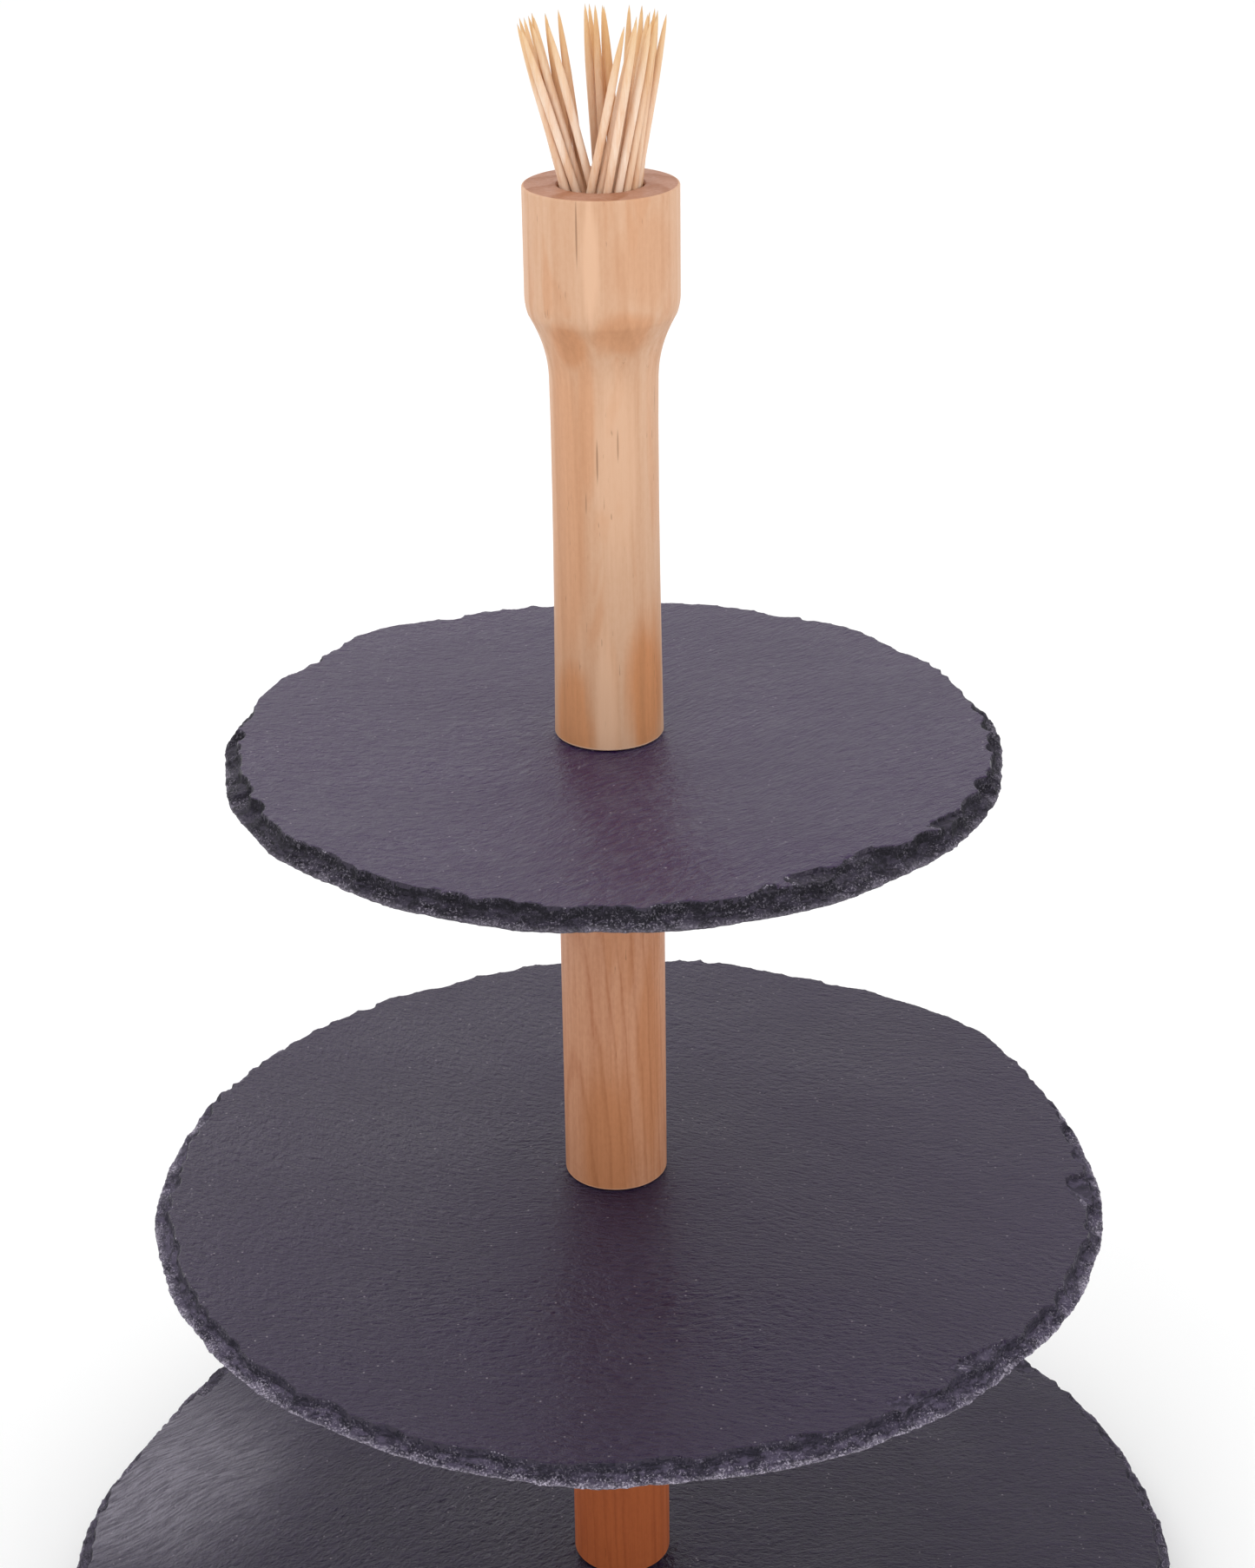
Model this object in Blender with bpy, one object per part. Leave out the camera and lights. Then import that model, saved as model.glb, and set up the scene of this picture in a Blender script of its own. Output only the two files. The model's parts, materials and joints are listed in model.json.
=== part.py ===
"""Three-tier slate cake stand with a toothpick cup in its wooden handle.

Three riven slate plates hang one above another on a turned wooden stem. Each plate is clamped
between two lengths of the stem by an M8 stud, and an M8 screw with washers comes up through the
bottom plate. The stem's joints are recessed, so only a thin line shows where wood meets slate.
The model stands on its rubber feet at z = 0, with the stem's axis on the Z axis.
"""
import math
import random

import bmesh
import bpy
from mathutils import Matrix, Vector

MM = 0.001
GAP = 0.3                   # clearance left between neighbouring pieces, mm

# Tiers, mm
TIER_PITCH = 132.0          # from the top of one plate to the top of the next
SLATE_THICKNESS = 5.5
SLATE_HOLE_RADIUS = 5.0
SLATE_STEPS = 72            # points round a plate's outline
BEVEL_WIDTH = 4.4           # the chipped slope round a plate's upper edge
LIP_HEIGHT = 1.1            # the widest line of a plate lies this far above its underside
LIP_UNDERCUT = 0.8
# name: radius, centre's x and y, and the outline's irregular places, each as azimuth and
# half-width in degrees, then what it adds to the radius and to the width of the chipped slope
SLATES = {
    "bottom_slate": (162.5, 0.0, 0.0, (
        (158, 14, -2.0, 0.0), (212, 20, 0.8, 0.8), (304, 16, -1.1, 0.6), (64, 22, 0.9, -1.4))),
    "middle_slate": (130.0, 3.0, -5.0, (
        (37, 13, 2.2, -3.6), (0, 5, 1.0, 0.0), (181, 6, -0.9, 1.2), (258, 18, 0.5, -0.8),
        (118, 20, -0.6, 0.5))),
    "top_slate": (100.5, 1.0, -4.0, (
        (132, 11, 2.0, -3.8), (158, 14, 0.8, -1.8), (42, 22, 0.4, -1.9), (310, 12, 0.3, 2.6),
        (205, 18, -0.4, 0.6))),
}
RIPPLE = 0.35               # height of the small waves in every outline
RIPPLE_COUNTS = (9, 17)     # small waves round an outline
SLOPE_RIPPLE = 0.5          # change of the chipped slope's width round a plate
SLOPE_RIPPLE_COUNT = 13
SLOPE_LEAST = 0.7
MID_SLOPE = (0.32, 0.52)    # the slope's knee, from the lip inwards, as a share of its width
MID_SLOPE_DEPTH = 0.42      # how far below the face the knee lies, as a share of the thickness

# Stem, mm
COLUMN_RADIUS = 14.0
WOOD_EDGE = 0.5             # rounding of the wood's ends
WOOD_STEPS = 36
STEM_RECESS_RADIUS = 10.3   # pocket for a washer in each end of the wood
STEM_RECESS_DEPTH = 1.3
WASHER_RADIUS = 10.0
WASHER_HOLE_RADIUS = 4.4
WASHER_THICKNESS = 1.0
STEEL_WASHER_THICKNESS = 1.6
METAL_STEPS = 20

# M8 x 1.25 hardware, mm
STUD_RADIUS = 4.0
STUD_CHAMFER = 0.8
STUD_PROUD = 15.9           # thread standing above the plate it passes through
STUD_EMBEDDED = 20.0        # glued length in the top of a column
INSERT_RADIUS = 6.0
INSERT_LENGTH = 15.0
INSERT_POCKET = 22.0        # depth of the insert's bore from the washer pocket
HEAD_RADIUS = 7.0
HEAD_CROWN_RADIUS = 4.4     # flat middle of the button head
HEAD_HEIGHT = 4.4
HEAD_EDGE = 1.5             # upright edge of the head, under its seat
HEAD_STEPS = 3              # of the rounding between the head's edge and its crown
SOCKET_RADIUS = 2.9         # 5 mm hexagon socket, across its corners
SOCKET_DEPTH = 2.6

# Feet, mm
FOOT_HEIGHT = 9.0
FOOT_TOP_RADIUS = 11.0
FOOT_BOTTOM_RADIUS = 9.5
FOOT_EDGE = 0.6             # bevel of the tread's edge
FOOT_CIRCLE = 122.0         # distance of each foot from the stem's axis
FOOT_COUNT = 4

# Handle, mm above the top plate
HANDLE_BASE_RADIUS = 14.1
HANDLE_WAIST_RADIUS = 13.4
HANDLE_WAIST_HEIGHT = 68.0
SHAFT_CURVE = 1.6           # how late the shaft's taper sets in above its base
SHAFT_STEPS = 5
FLARE = ((13.5, 13.5, 15.9, 18.3), (94.0, 101.6, 106.8, 111.2))  # control radii, heights
FLARE_STEPS = 8
CUP_RADIUS = 19.05
CUP_ROUNDING = 4.6          # height over which the cup's wall curves in above the flare
CUP_ROUNDING_STEPS = 3
CUP_RIM = 142.8
CUP_BORE_RADIUS = 10.5
CUP_BORE_DEPTH = 24.6
CUP_BORE_CHAMFER = 0.4

# Toothpicks, mm
TOOTHPICK_LENGTH = 65.0
TOOTHPICK_RADIUS = 1.0
TOOTHPICK_POINT = 15.0      # length of each pointed end
TOOTHPICK_BULGE = 0.72      # share of the full radius half way along the point
TOOTHPICK_SIDES = 8
TOOTHPICK_LIFT = 26.0       # travel along its own length that takes a toothpick out of the cup
TOOTHPICK_ROUNDING = 0.05
PACKING_SEED = 11
PACKING_CLEARANCE = 0.36
PACKING_ROUNDS = 1500
PUSH_SHARE = 0.4            # of what two toothpicks lack in distance, made good by each in a round
TIP_HEIGHT = 40.0           # of the toothpicks above the rim, before they settle
TIP_SCATTER = 0.3           # random shift of a tip, as a share of its bunch's spread
TIP_PULL = 0.05             # share of the way to its bunch that a tip is drawn in the first round
TIP_PULL_END = 0.8          # share of the rounds after which the tips are no longer drawn
FREE_HALF_WIDTH = 2.2       # half the side of the space left open in the middle of the cup's mouth
FREE_DEPTH = 5.0            # how far down from the rim that space goes
FREE_RISE = 3.0             # and how far up
# bunch: number, then where it crosses the rim and where its tips are, each as centre x, y and
# half-spread x, y from the cup's axis
BUNCHES = (
    (12, (-6.8, 0.4, 1.9, 6.6), (-17.5, 1.0, 4.6, 9.5)),
    (5, (0.8, 7.4, 3.0, 1.0), (0.0, 15.0, 3.0, 2.4)),
    (10, (6.6, 1.0, 2.0, 6.2), (15.5, 4.0, 2.8, 9.0)),
    (5, (0.9, -7.5, 4.2, 0.8), (8.6, -11.0, 6.0, 3.0)),
)

# slot: colour, roughness, metallic
MATERIALS = {
    "slate": ((0.080, 0.070, 0.098, 1.0), 0.75, 0.0),
    "column_wood": ((0.48, 0.22, 0.085, 1.0), 0.55, 0.0),
    "handle_wood": ((0.72, 0.45, 0.26, 1.0), 0.55, 0.0),
    "toothpick_wood": ((0.80, 0.58, 0.36, 1.0), 0.65, 0.0),
    "rubber": ((0.020, 0.020, 0.022, 1.0), 0.85, 0.0),
    "steel": ((0.55, 0.55, 0.56, 1.0), 0.35, 1.0),
    "brass": ((0.68, 0.47, 0.18, 1.0), 0.40, 1.0),
}

# Heights that follow from the sizes above, mm
BOTTOM_UNDERSIDE = FOOT_HEIGHT + GAP
BOTTOM_TOP = BOTTOM_UNDERSIDE + SLATE_THICKNESS
MIDDLE_TOP = BOTTOM_TOP + TIER_PITCH
TOP_TOP = MIDDLE_TOP + TIER_PITCH
RIM_HEIGHT = TOP_TOP + CUP_RIM


def clear_scene():
    """Remove whatever the open file holds."""
    for obj in list(bpy.data.objects):
        bpy.data.objects.remove(obj, do_unlink=True)


def make_material(name, colour, roughness, metallic):
    material = bpy.data.materials.new(name)
    material.use_nodes = True
    shader = material.node_tree.nodes["Principled BSDF"]
    shader.inputs["Base Color"].default_value = colour
    shader.inputs["Roughness"].default_value = roughness
    shader.inputs["Metallic"].default_value = metallic
    material.diffuse_color = colour
    return material


def make_object(name, bm, material, location, sharp_angle=35.0):
    """Turn a bmesh in millimetres into a named, shaded object at a place in millimetres."""
    bmesh.ops.recalc_face_normals(bm, faces=bm.faces)
    bmesh.ops.scale(bm, vec=(MM, MM, MM), verts=bm.verts)
    mesh = bpy.data.meshes.new(name)
    bm.to_mesh(mesh)
    bm.free()
    mesh.shade_smooth()
    mesh.set_sharp_from_angle(angle=math.radians(sharp_angle))
    mesh.materials.append(material)
    obj = bpy.data.objects.new(name, mesh)
    bpy.context.scene.collection.objects.link(obj)
    obj.location = Vector(location) * MM
    return obj


def attach(holder, pieces):
    """Parent pieces to the one that carries them, leaving them where they are."""
    for piece in pieces:
        piece.parent = holder
        piece.matrix_parent_inverse = Matrix.Translation(-holder.location)


def bridge(bm, lower, upper):
    """Join two rings of vertices, either of which may be a single vertex on the axis."""
    count = max(len(lower), len(upper))
    for i in range(count):
        j = (i + 1) % count
        corners = [lower[i % len(lower)], lower[j % len(lower)],
                   upper[j % len(upper)], upper[i % len(upper)]]
        corners = list(dict.fromkeys(corners))
        bm.faces.new(corners)


def turned_mesh(profile, steps, closed=False):
    """Revolve (radius, height) points about Z; a closed profile makes a ring with a hole."""
    bm = bmesh.new()
    rings = []
    for radius, height in profile:
        count = steps if radius > 0.0 else 1
        ring = []
        for i in range(count):
            angle = 2.0 * math.pi * i / count
            ring.append(bm.verts.new((radius * math.cos(angle), radius * math.sin(angle), height)))
        rings.append(ring)
    for lower, upper in zip(rings, rings[1:]):
        bridge(bm, lower, upper)
    if closed:
        bridge(bm, rings[-1], rings[0])
    return bm


def bump(degrees, centre, half_width):
    """A smooth hill of height 1 at an azimuth, all angles in degrees."""
    away = (degrees - centre + 180.0) % 360.0 - 180.0
    return math.exp(-(away / half_width) ** 2)


def slate_edge(degrees, radius, places, phase):
    """A plate's outer radius, and the width of its chipped slope, at an azimuth."""
    azimuth = math.radians(degrees)
    coarse, fine = RIPPLE_COUNTS
    outer = radius + RIPPLE * (math.sin(coarse * azimuth + phase) + math.sin(fine * azimuth - 2 * phase))
    slope = BEVEL_WIDTH + SLOPE_RIPPLE * math.sin(SLOPE_RIPPLE_COUNT * azimuth + 3 * phase)
    for centre, half_width, wider, slope_change in places:
        hill = bump(degrees, centre, half_width)
        outer += wider * hill
        slope += slope_change * hill
    return outer, max(slope, SLOPE_LEAST)


def slate_rings(radius, centre_x, centre_y, places, phase):
    """Plan points of the chipped edge: the lip's underside, the lip, mid-slope and the top face."""
    rng = random.Random(int(radius))
    rings = ([], [], [], [])
    for i in range(SLATE_STEPS):
        degrees = 360.0 * i / SLATE_STEPS
        outer, slope = slate_edge(degrees, radius, places, phase)
        middle = outer - slope * rng.uniform(*MID_SLOPE)
        for ring, r in zip(rings, (outer - LIP_UNDERCUT, outer, middle, outer - slope)):
            ring.append((centre_x + r * math.cos(math.radians(degrees)),
                         centre_y + r * math.sin(math.radians(degrees))))
    return rings


def centred(rings):
    """Shift the rings so that the widest one is centred on the stem's axis."""
    lip = rings[1]
    shift_x = (max(x for x, y in lip) + min(x for x, y in lip)) / 2
    shift_y = (max(y for x, y in lip) + min(y for x, y in lip)) / 2
    return [[(x - shift_x, y - shift_y) for x, y in ring] for ring in rings]


def slate(name, top, material):
    """A round riven plate, chipped all round its upper edge, with a hole for the stud."""
    radius, centre_x, centre_y, places = SLATES[name]
    rings = slate_rings(radius, centre_x, centre_y, places, radius)
    if centre_x == 0.0 and centre_y == 0.0:
        rings = centred(rings)
    underside = -SLATE_THICKNESS
    heights = (underside, underside + LIP_HEIGHT, -MID_SLOPE_DEPTH * SLATE_THICKNESS, 0.0)
    hole = []
    for i in range(SLATE_STEPS):
        angle = 2.0 * math.pi * i / SLATE_STEPS
        hole.append((SLATE_HOLE_RADIUS * math.cos(angle), SLATE_HOLE_RADIUS * math.sin(angle)))
    bm = bmesh.new()
    loops = []
    for ring, height in zip([hole] + list(rings) + [hole], (underside,) + heights + (0.0,)):
        loops.append([bm.verts.new((x, y, height)) for x, y in ring])
    for lower, upper in zip(loops, loops[1:]):
        bridge(bm, lower, upper)
    bridge(bm, loops[-1], loops[0])
    return make_object(name, bm, material, (0.0, 0.0, top), sharp_angle=25.0)


def washer(name, underside, thickness, material):
    profile = [(WASHER_HOLE_RADIUS, 0.0), (WASHER_RADIUS, 0.0), (WASHER_RADIUS, thickness),
               (WASHER_HOLE_RADIUS, thickness)]
    bm = turned_mesh(profile, METAL_STEPS, closed=True)
    return make_object(name, bm, material, (0.0, 0.0, underside))


def insert(name, slate_top, material):
    """Threaded brass insert, glued into the bore at the bottom of a length of the stem."""
    inner = STUD_RADIUS + GAP
    profile = [(inner, 0.0), (INSERT_RADIUS, 0.0), (INSERT_RADIUS, INSERT_LENGTH),
               (inner, INSERT_LENGTH)]
    bm = turned_mesh(profile, METAL_STEPS, closed=True)
    underside = slate_top + GAP + STEM_RECESS_DEPTH + GAP
    return make_object(name, bm, material, (0.0, 0.0, underside))


def stud(name, slate_top, material):
    """Threaded stud, glued into the top of a column and standing up through the plate."""
    foot = slate_top - SLATE_THICKNESS - GAP - STEM_RECESS_DEPTH - STUD_EMBEDDED
    length = slate_top + STUD_PROUD - foot
    chamfered = STUD_RADIUS - STUD_CHAMFER
    profile = [(0.0, 0.0), (chamfered, 0.0), (STUD_RADIUS, STUD_CHAMFER),
               (STUD_RADIUS, length - STUD_CHAMFER), (chamfered, length), (0.0, length)]
    bm = turned_mesh(profile, METAL_STEPS)
    return make_object(name, bm, material, (0.0, 0.0, foot))


def base_screw(name, head_top, material):
    """Button-head screw that comes up through the bottom plate into the lower column."""
    length = BOTTOM_TOP + STUD_PROUD - head_top
    profile = [(0.0, SOCKET_DEPTH - HEAD_HEIGHT), (SOCKET_RADIUS, SOCKET_DEPTH - HEAD_HEIGHT),
               (SOCKET_RADIUS, -HEAD_HEIGHT)]
    for step in range(HEAD_STEPS):
        turn = math.pi / 2 * step / (HEAD_STEPS - 1)
        profile.append((HEAD_CROWN_RADIUS + (HEAD_RADIUS - HEAD_CROWN_RADIUS) * math.sin(turn),
                        -HEAD_EDGE - (HEAD_HEIGHT - HEAD_EDGE) * math.cos(turn)))
    profile += [(HEAD_RADIUS, 0.0), (STUD_RADIUS, 0.0), (STUD_RADIUS, length - STUD_CHAMFER),
                (STUD_RADIUS - STUD_CHAMFER, length), (0.0, length)]
    bm = turned_mesh(profile, METAL_STEPS)
    return make_object(name, bm, material, (0.0, 0.0, head_top))


def foot(name, azimuth, material):
    """Rubber bumper, flat underneath and slightly tapered towards the table."""
    profile = [(0.0, 0.0), (FOOT_BOTTOM_RADIUS - FOOT_EDGE, 0.0), (FOOT_BOTTOM_RADIUS, FOOT_EDGE),
               (FOOT_TOP_RADIUS, FOOT_HEIGHT), (0.0, FOOT_HEIGHT)]
    place = (FOOT_CIRCLE * math.cos(azimuth), FOOT_CIRCLE * math.sin(azimuth), 0.0)
    return make_object(name, turned_mesh(profile, METAL_STEPS), material, place)


def base_bore_profile():
    """The pocket and bore in the bottom of a length of the stem, from the axis outwards."""
    bore = INSERT_RADIUS + GAP
    return [(0.0, STEM_RECESS_DEPTH + INSERT_POCKET), (bore, STEM_RECESS_DEPTH + INSERT_POCKET),
            (bore, STEM_RECESS_DEPTH), (STEM_RECESS_RADIUS, STEM_RECESS_DEPTH),
            (STEM_RECESS_RADIUS, 0.0)]


def column(name, slate_top, material):
    """Plain round column between two plates, bored at both ends."""
    length = TIER_PITCH - SLATE_THICKNESS - 2 * GAP
    stud_bore = STUD_RADIUS + GAP
    profile = base_bore_profile() + [
        (COLUMN_RADIUS - WOOD_EDGE, 0.0), (COLUMN_RADIUS, WOOD_EDGE),
        (COLUMN_RADIUS, length - WOOD_EDGE), (COLUMN_RADIUS - WOOD_EDGE, length),
        (STEM_RECESS_RADIUS, length), (STEM_RECESS_RADIUS, length - STEM_RECESS_DEPTH),
        (stud_bore, length - STEM_RECESS_DEPTH),
        (stud_bore, length - STEM_RECESS_DEPTH - STUD_EMBEDDED - GAP),
        (0.0, length - STEM_RECESS_DEPTH - STUD_EMBEDDED - GAP)]
    bm = turned_mesh(profile, WOOD_STEPS)
    return make_object(name, bm, material, (0.0, 0.0, slate_top + GAP))


def flare_point(t):
    """The curve from the handle's shaft, at t = 0, out to its cup, at t = 1."""
    weights = ((1 - t) ** 3, 3 * t * (1 - t) ** 2, 3 * t * t * (1 - t), t ** 3)
    radius, height = (sum(w * p for w, p in zip(weights, row)) for row in FLARE)
    return radius, height - GAP


def shaft_point(t):
    """The shaft narrows slightly from its base, at t = 0, to its waist, at t = 1."""
    widening = (HANDLE_BASE_RADIUS - HANDLE_WAIST_RADIUS) * (1 - t) ** SHAFT_CURVE
    return HANDLE_WAIST_RADIUS + widening, HANDLE_WAIST_HEIGHT * t


def cup_point(t):
    """The rounding from the crease above the flare, at t = 0, to the cup's straight wall."""
    crease_radius, crease_height = flare_point(1.0)
    radius = CUP_RADIUS - (CUP_RADIUS - crease_radius) * (1 - t) ** 2
    return radius, crease_height + CUP_ROUNDING * t


def handle(name, material):
    """Turned handle with a waisted shaft, a flare and a cup bored in its top."""
    profile = base_bore_profile()
    profile += [(HANDLE_BASE_RADIUS - WOOD_EDGE, 0.0), (HANDLE_BASE_RADIUS, WOOD_EDGE)]
    profile += [shaft_point(step / SHAFT_STEPS) for step in range(1, SHAFT_STEPS + 1)]
    profile += [flare_point(step / FLARE_STEPS) for step in range(FLARE_STEPS + 1)]
    profile += [cup_point(step / CUP_ROUNDING_STEPS) for step in range(1, CUP_ROUNDING_STEPS + 1)]
    rim = CUP_RIM - GAP
    profile += [(CUP_RADIUS, rim - WOOD_EDGE), (CUP_RADIUS - WOOD_EDGE, rim),
                (CUP_BORE_RADIUS + CUP_BORE_CHAMFER, rim), (CUP_BORE_RADIUS, rim - CUP_BORE_CHAMFER),
                (CUP_BORE_RADIUS, rim - CUP_BORE_DEPTH), (0.0, rim - CUP_BORE_DEPTH)]
    bm = turned_mesh(profile, WOOD_STEPS)
    return make_object(name, bm, material, (0.0, 0.0, TOP_TOP + GAP))


def closest_points(a, b, c, d):
    """How far along segments a-b and c-d, from 0 to 1, their closest points lie."""
    first, second, between = b - a, d - c, a - c
    aa, bb, ab = first.dot(first), second.dot(second), first.dot(second)
    af, bf = first.dot(between), second.dot(between)
    det = aa * bb - ab * ab
    s = min(1.0, max(0.0, (ab * bf - bb * af) / det)) if det > 1e-9 else 0.5
    t = min(1.0, max(0.0, (ab * s + bf) / bb))
    s = min(1.0, max(0.0, (ab * t - af) / aa))
    return s, t


def first_guess():
    """Loosely fanned toothpicks in their bunches, as low and high ends from the rim's centre."""
    rng = random.Random(PACKING_SEED)
    low = -CUP_BORE_DEPTH + GAP
    pairs = []
    for count, rim, tip in BUNCHES:
        for i in range(count):
            along = 2.0 * (i + 0.5) / count - 1.0
            across = 1.0 if i % 2 else -1.0
            u, v = (along, across) if rim[2] > rim[3] else (across, along)
            rim_x, rim_y = rim[0] + rim[2] * u, rim[1] + rim[3] * v
            tip_x = tip[0] + tip[2] * (u + rng.uniform(-TIP_SCATTER, TIP_SCATTER))
            tip_y = tip[1] + tip[3] * (v + rng.uniform(-TIP_SCATTER, TIP_SCATTER))
            reach = CUP_BORE_DEPTH / TIP_HEIGHT
            foot_x, foot_y = rim_x - (tip_x - rim_x) * reach, rim_y - (tip_y - rim_y) * reach
            pairs.append([Vector((foot_x, foot_y, low)), Vector((tip_x, tip_y, TIP_HEIGHT))])
    return pairs


def stretch(pair, tip, pull):
    """Draw a toothpick's high end towards its place in the bunch and make its length right."""
    low, high = pair
    high.x += (tip.x - high.x) * pull
    high.y += (tip.y - high.y) * pull
    pair[1] = low + (high - low).normalized() * TOOTHPICK_LENGTH


def push_apart(pairs, need):
    """Move every two toothpicks that are too close away from each other, over their lifted travel."""
    travel = (TOOTHPICK_LENGTH + TOOTHPICK_LIFT) / TOOTHPICK_LENGTH
    ends = [(low, low + (high - low) * travel) for low, high in pairs]
    moves = [[Vector(), Vector()] for pair in pairs]
    for i, (a, b) in enumerate(ends):
        for j in range(i + 1, len(ends)):
            c, d = ends[j]
            s, t = closest_points(a, b, c, d)
            apart = (a + (b - a) * s) - (c + (d - c) * t)
            lack = need - apart.length
            if lack <= 0.0:
                continue
            step = apart.normalized() * lack * PUSH_SHARE
            for index, share, way in ((i, min(1.0, s * travel), 1), (j, min(1.0, t * travel), -1)):
                moves[index][0] += step * (1 - share) * way
                moves[index][1] += step * share * way
    for pair, (low_move, high_move) in zip(pairs, moves):
        low_move.z = 0.0
        pair[0] += low_move
        pair[1] += high_move


def keep_in_bore(pair):
    """Hold a toothpick inside the bore and out of the free space in the cup's mouth."""
    low, high = pair
    limit = CUP_BORE_RADIUS - TOOTHPICK_RADIUS - PACKING_CLEARANCE
    inner = FREE_HALF_WIDTH + TOOTHPICK_RADIUS + PACKING_CLEARANCE
    for height in (low.z, -FREE_DEPTH, 0.0, FREE_RISE):
        share = (height - low.z) / (high.z - low.z)
        place = low.lerp(high, share)
        radius = math.hypot(place.x, place.y)
        shift = Vector()
        if radius > limit and height <= 0.0:
            shift = Vector((place.x, place.y, 0.0)) * (limit / radius - 1.0)
        elif height > low.z and abs(place.x) < inner and abs(place.y) < inner:
            if abs(place.x) > abs(place.y):
                shift.x = math.copysign(inner, place.x) - place.x
            else:
                shift.y = math.copysign(inner, place.y) - place.y
        low += shift * (1 - share)
        high += shift * min(1.0, share + 0.5)


def settle_toothpicks():
    """Toothpick ends from the rim's centre, moved until none touches another or the cup."""
    pairs = first_guess()
    tips = [high.copy() for low, high in pairs]
    need = 2 * TOOTHPICK_RADIUS + PACKING_CLEARANCE
    for count in range(PACKING_ROUNDS):
        push_apart(pairs, need)
        pull = TIP_PULL * max(0.0, 1.0 - count / (PACKING_ROUNDS * TIP_PULL_END))
        for pair, tip in zip(pairs, tips):
            keep_in_bore(pair)
            stretch(pair, tip, pull)
    for pair in pairs:
        for end in pair:
            for axis in range(3):
                end[axis] = round(end[axis] / TOOTHPICK_ROUNDING) * TOOTHPICK_ROUNDING
    return pairs


def toothpick(name, low, high, material):
    """Round toothpick, pointed at both ends, lying from its low end to its high end."""
    length = (high - low).length
    point = [(0.0, 0.0), (TOOTHPICK_RADIUS * TOOTHPICK_BULGE, TOOTHPICK_POINT / 2),
             (TOOTHPICK_RADIUS, TOOTHPICK_POINT)]
    profile = point + [(radius, length - height) for radius, height in reversed(point)]
    obj = make_object(name, turned_mesh(profile, TOOTHPICK_SIDES), material,
                      (low.x, low.y, RIM_HEIGHT + low.z))
    obj.rotation_mode = "QUATERNION"
    obj.rotation_quaternion = (high - low).to_track_quat("Z", "Y")
    return obj


def base_fittings(steel, rubber):
    """Screw and washers under the bottom plate, and the feet."""
    rubber_underside = BOTTOM_UNDERSIDE - GAP - WASHER_THICKNESS
    steel_underside = rubber_underside - GAP - STEEL_WASHER_THICKNESS
    pieces = [
        washer("base_rubber_washer", rubber_underside, WASHER_THICKNESS, rubber),
        washer("base_steel_washer", steel_underside, STEEL_WASHER_THICKNESS, steel),
        base_screw("base_screw", steel_underside - GAP, steel)]
    for i in range(FOOT_COUNT):
        azimuth = 2.0 * math.pi * (i + 0.5) / FOOT_COUNT
        pieces.append(foot("foot_%d" % (i + 1), azimuth, rubber))
    return pieces


def column_set(name, below, above, made):
    """A column between the plates with their top faces at two heights, with the fittings glued
    into it, the washer that the plate above lies on, and the washer that stays on the plate below."""
    wood = column(name, below, made["column_wood"])
    top_washer = above - SLATE_THICKNESS - GAP - WASHER_THICKNESS
    attach(wood, [
        insert(name + "_insert", below, made["brass"]),
        stud(name + "_stud", above, made["steel"]),
        washer(name + "_top_washer", top_washer, WASHER_THICKNESS, made["rubber"])])
    washer(name + "_washer", below + GAP, WASHER_THICKNESS, made["rubber"])


def handle_set(name, below, made):
    """The handle with its insert and its cup full of toothpicks, and the washer under it."""
    wood = handle(name, made["handle_wood"])
    carried = [insert(name + "_insert", below, made["brass"])]
    for number, (low, high) in enumerate(settle_toothpicks(), start=1):
        carried.append(toothpick("toothpick_%02d" % number, low, high, made["toothpick_wood"]))
    attach(wood, carried)
    washer(name + "_washer", below + GAP, WASHER_THICKNESS, made["rubber"])


def build():
    clear_scene()
    made = {name: make_material(name, *values) for name, values in MATERIALS.items()}
    base = slate("bottom_slate", BOTTOM_TOP, made["slate"])
    attach(base, base_fittings(made["steel"], made["rubber"]))
    column_set("lower_column", BOTTOM_TOP, MIDDLE_TOP, made)
    slate("middle_slate", MIDDLE_TOP, made["slate"])
    column_set("upper_column", MIDDLE_TOP, TOP_TOP, made)
    slate("top_slate", TOP_TOP, made["slate"])
    handle_set("handle", TOP_TOP, made)


build()
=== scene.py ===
"""Looks of the tiered cake stand: riven slate plates on a turned wooden stem, with toothpicks.

Every fine piece stands for one CAD node and takes its place and size from that node. Shapes are
built in millimetres on the stem's axis, which is the Z axis, and scaled to metres at the end.
"""
import json
import math
import random

import bpy
import numpy as np
from mathutils import Matrix, Vector, noise

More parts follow.
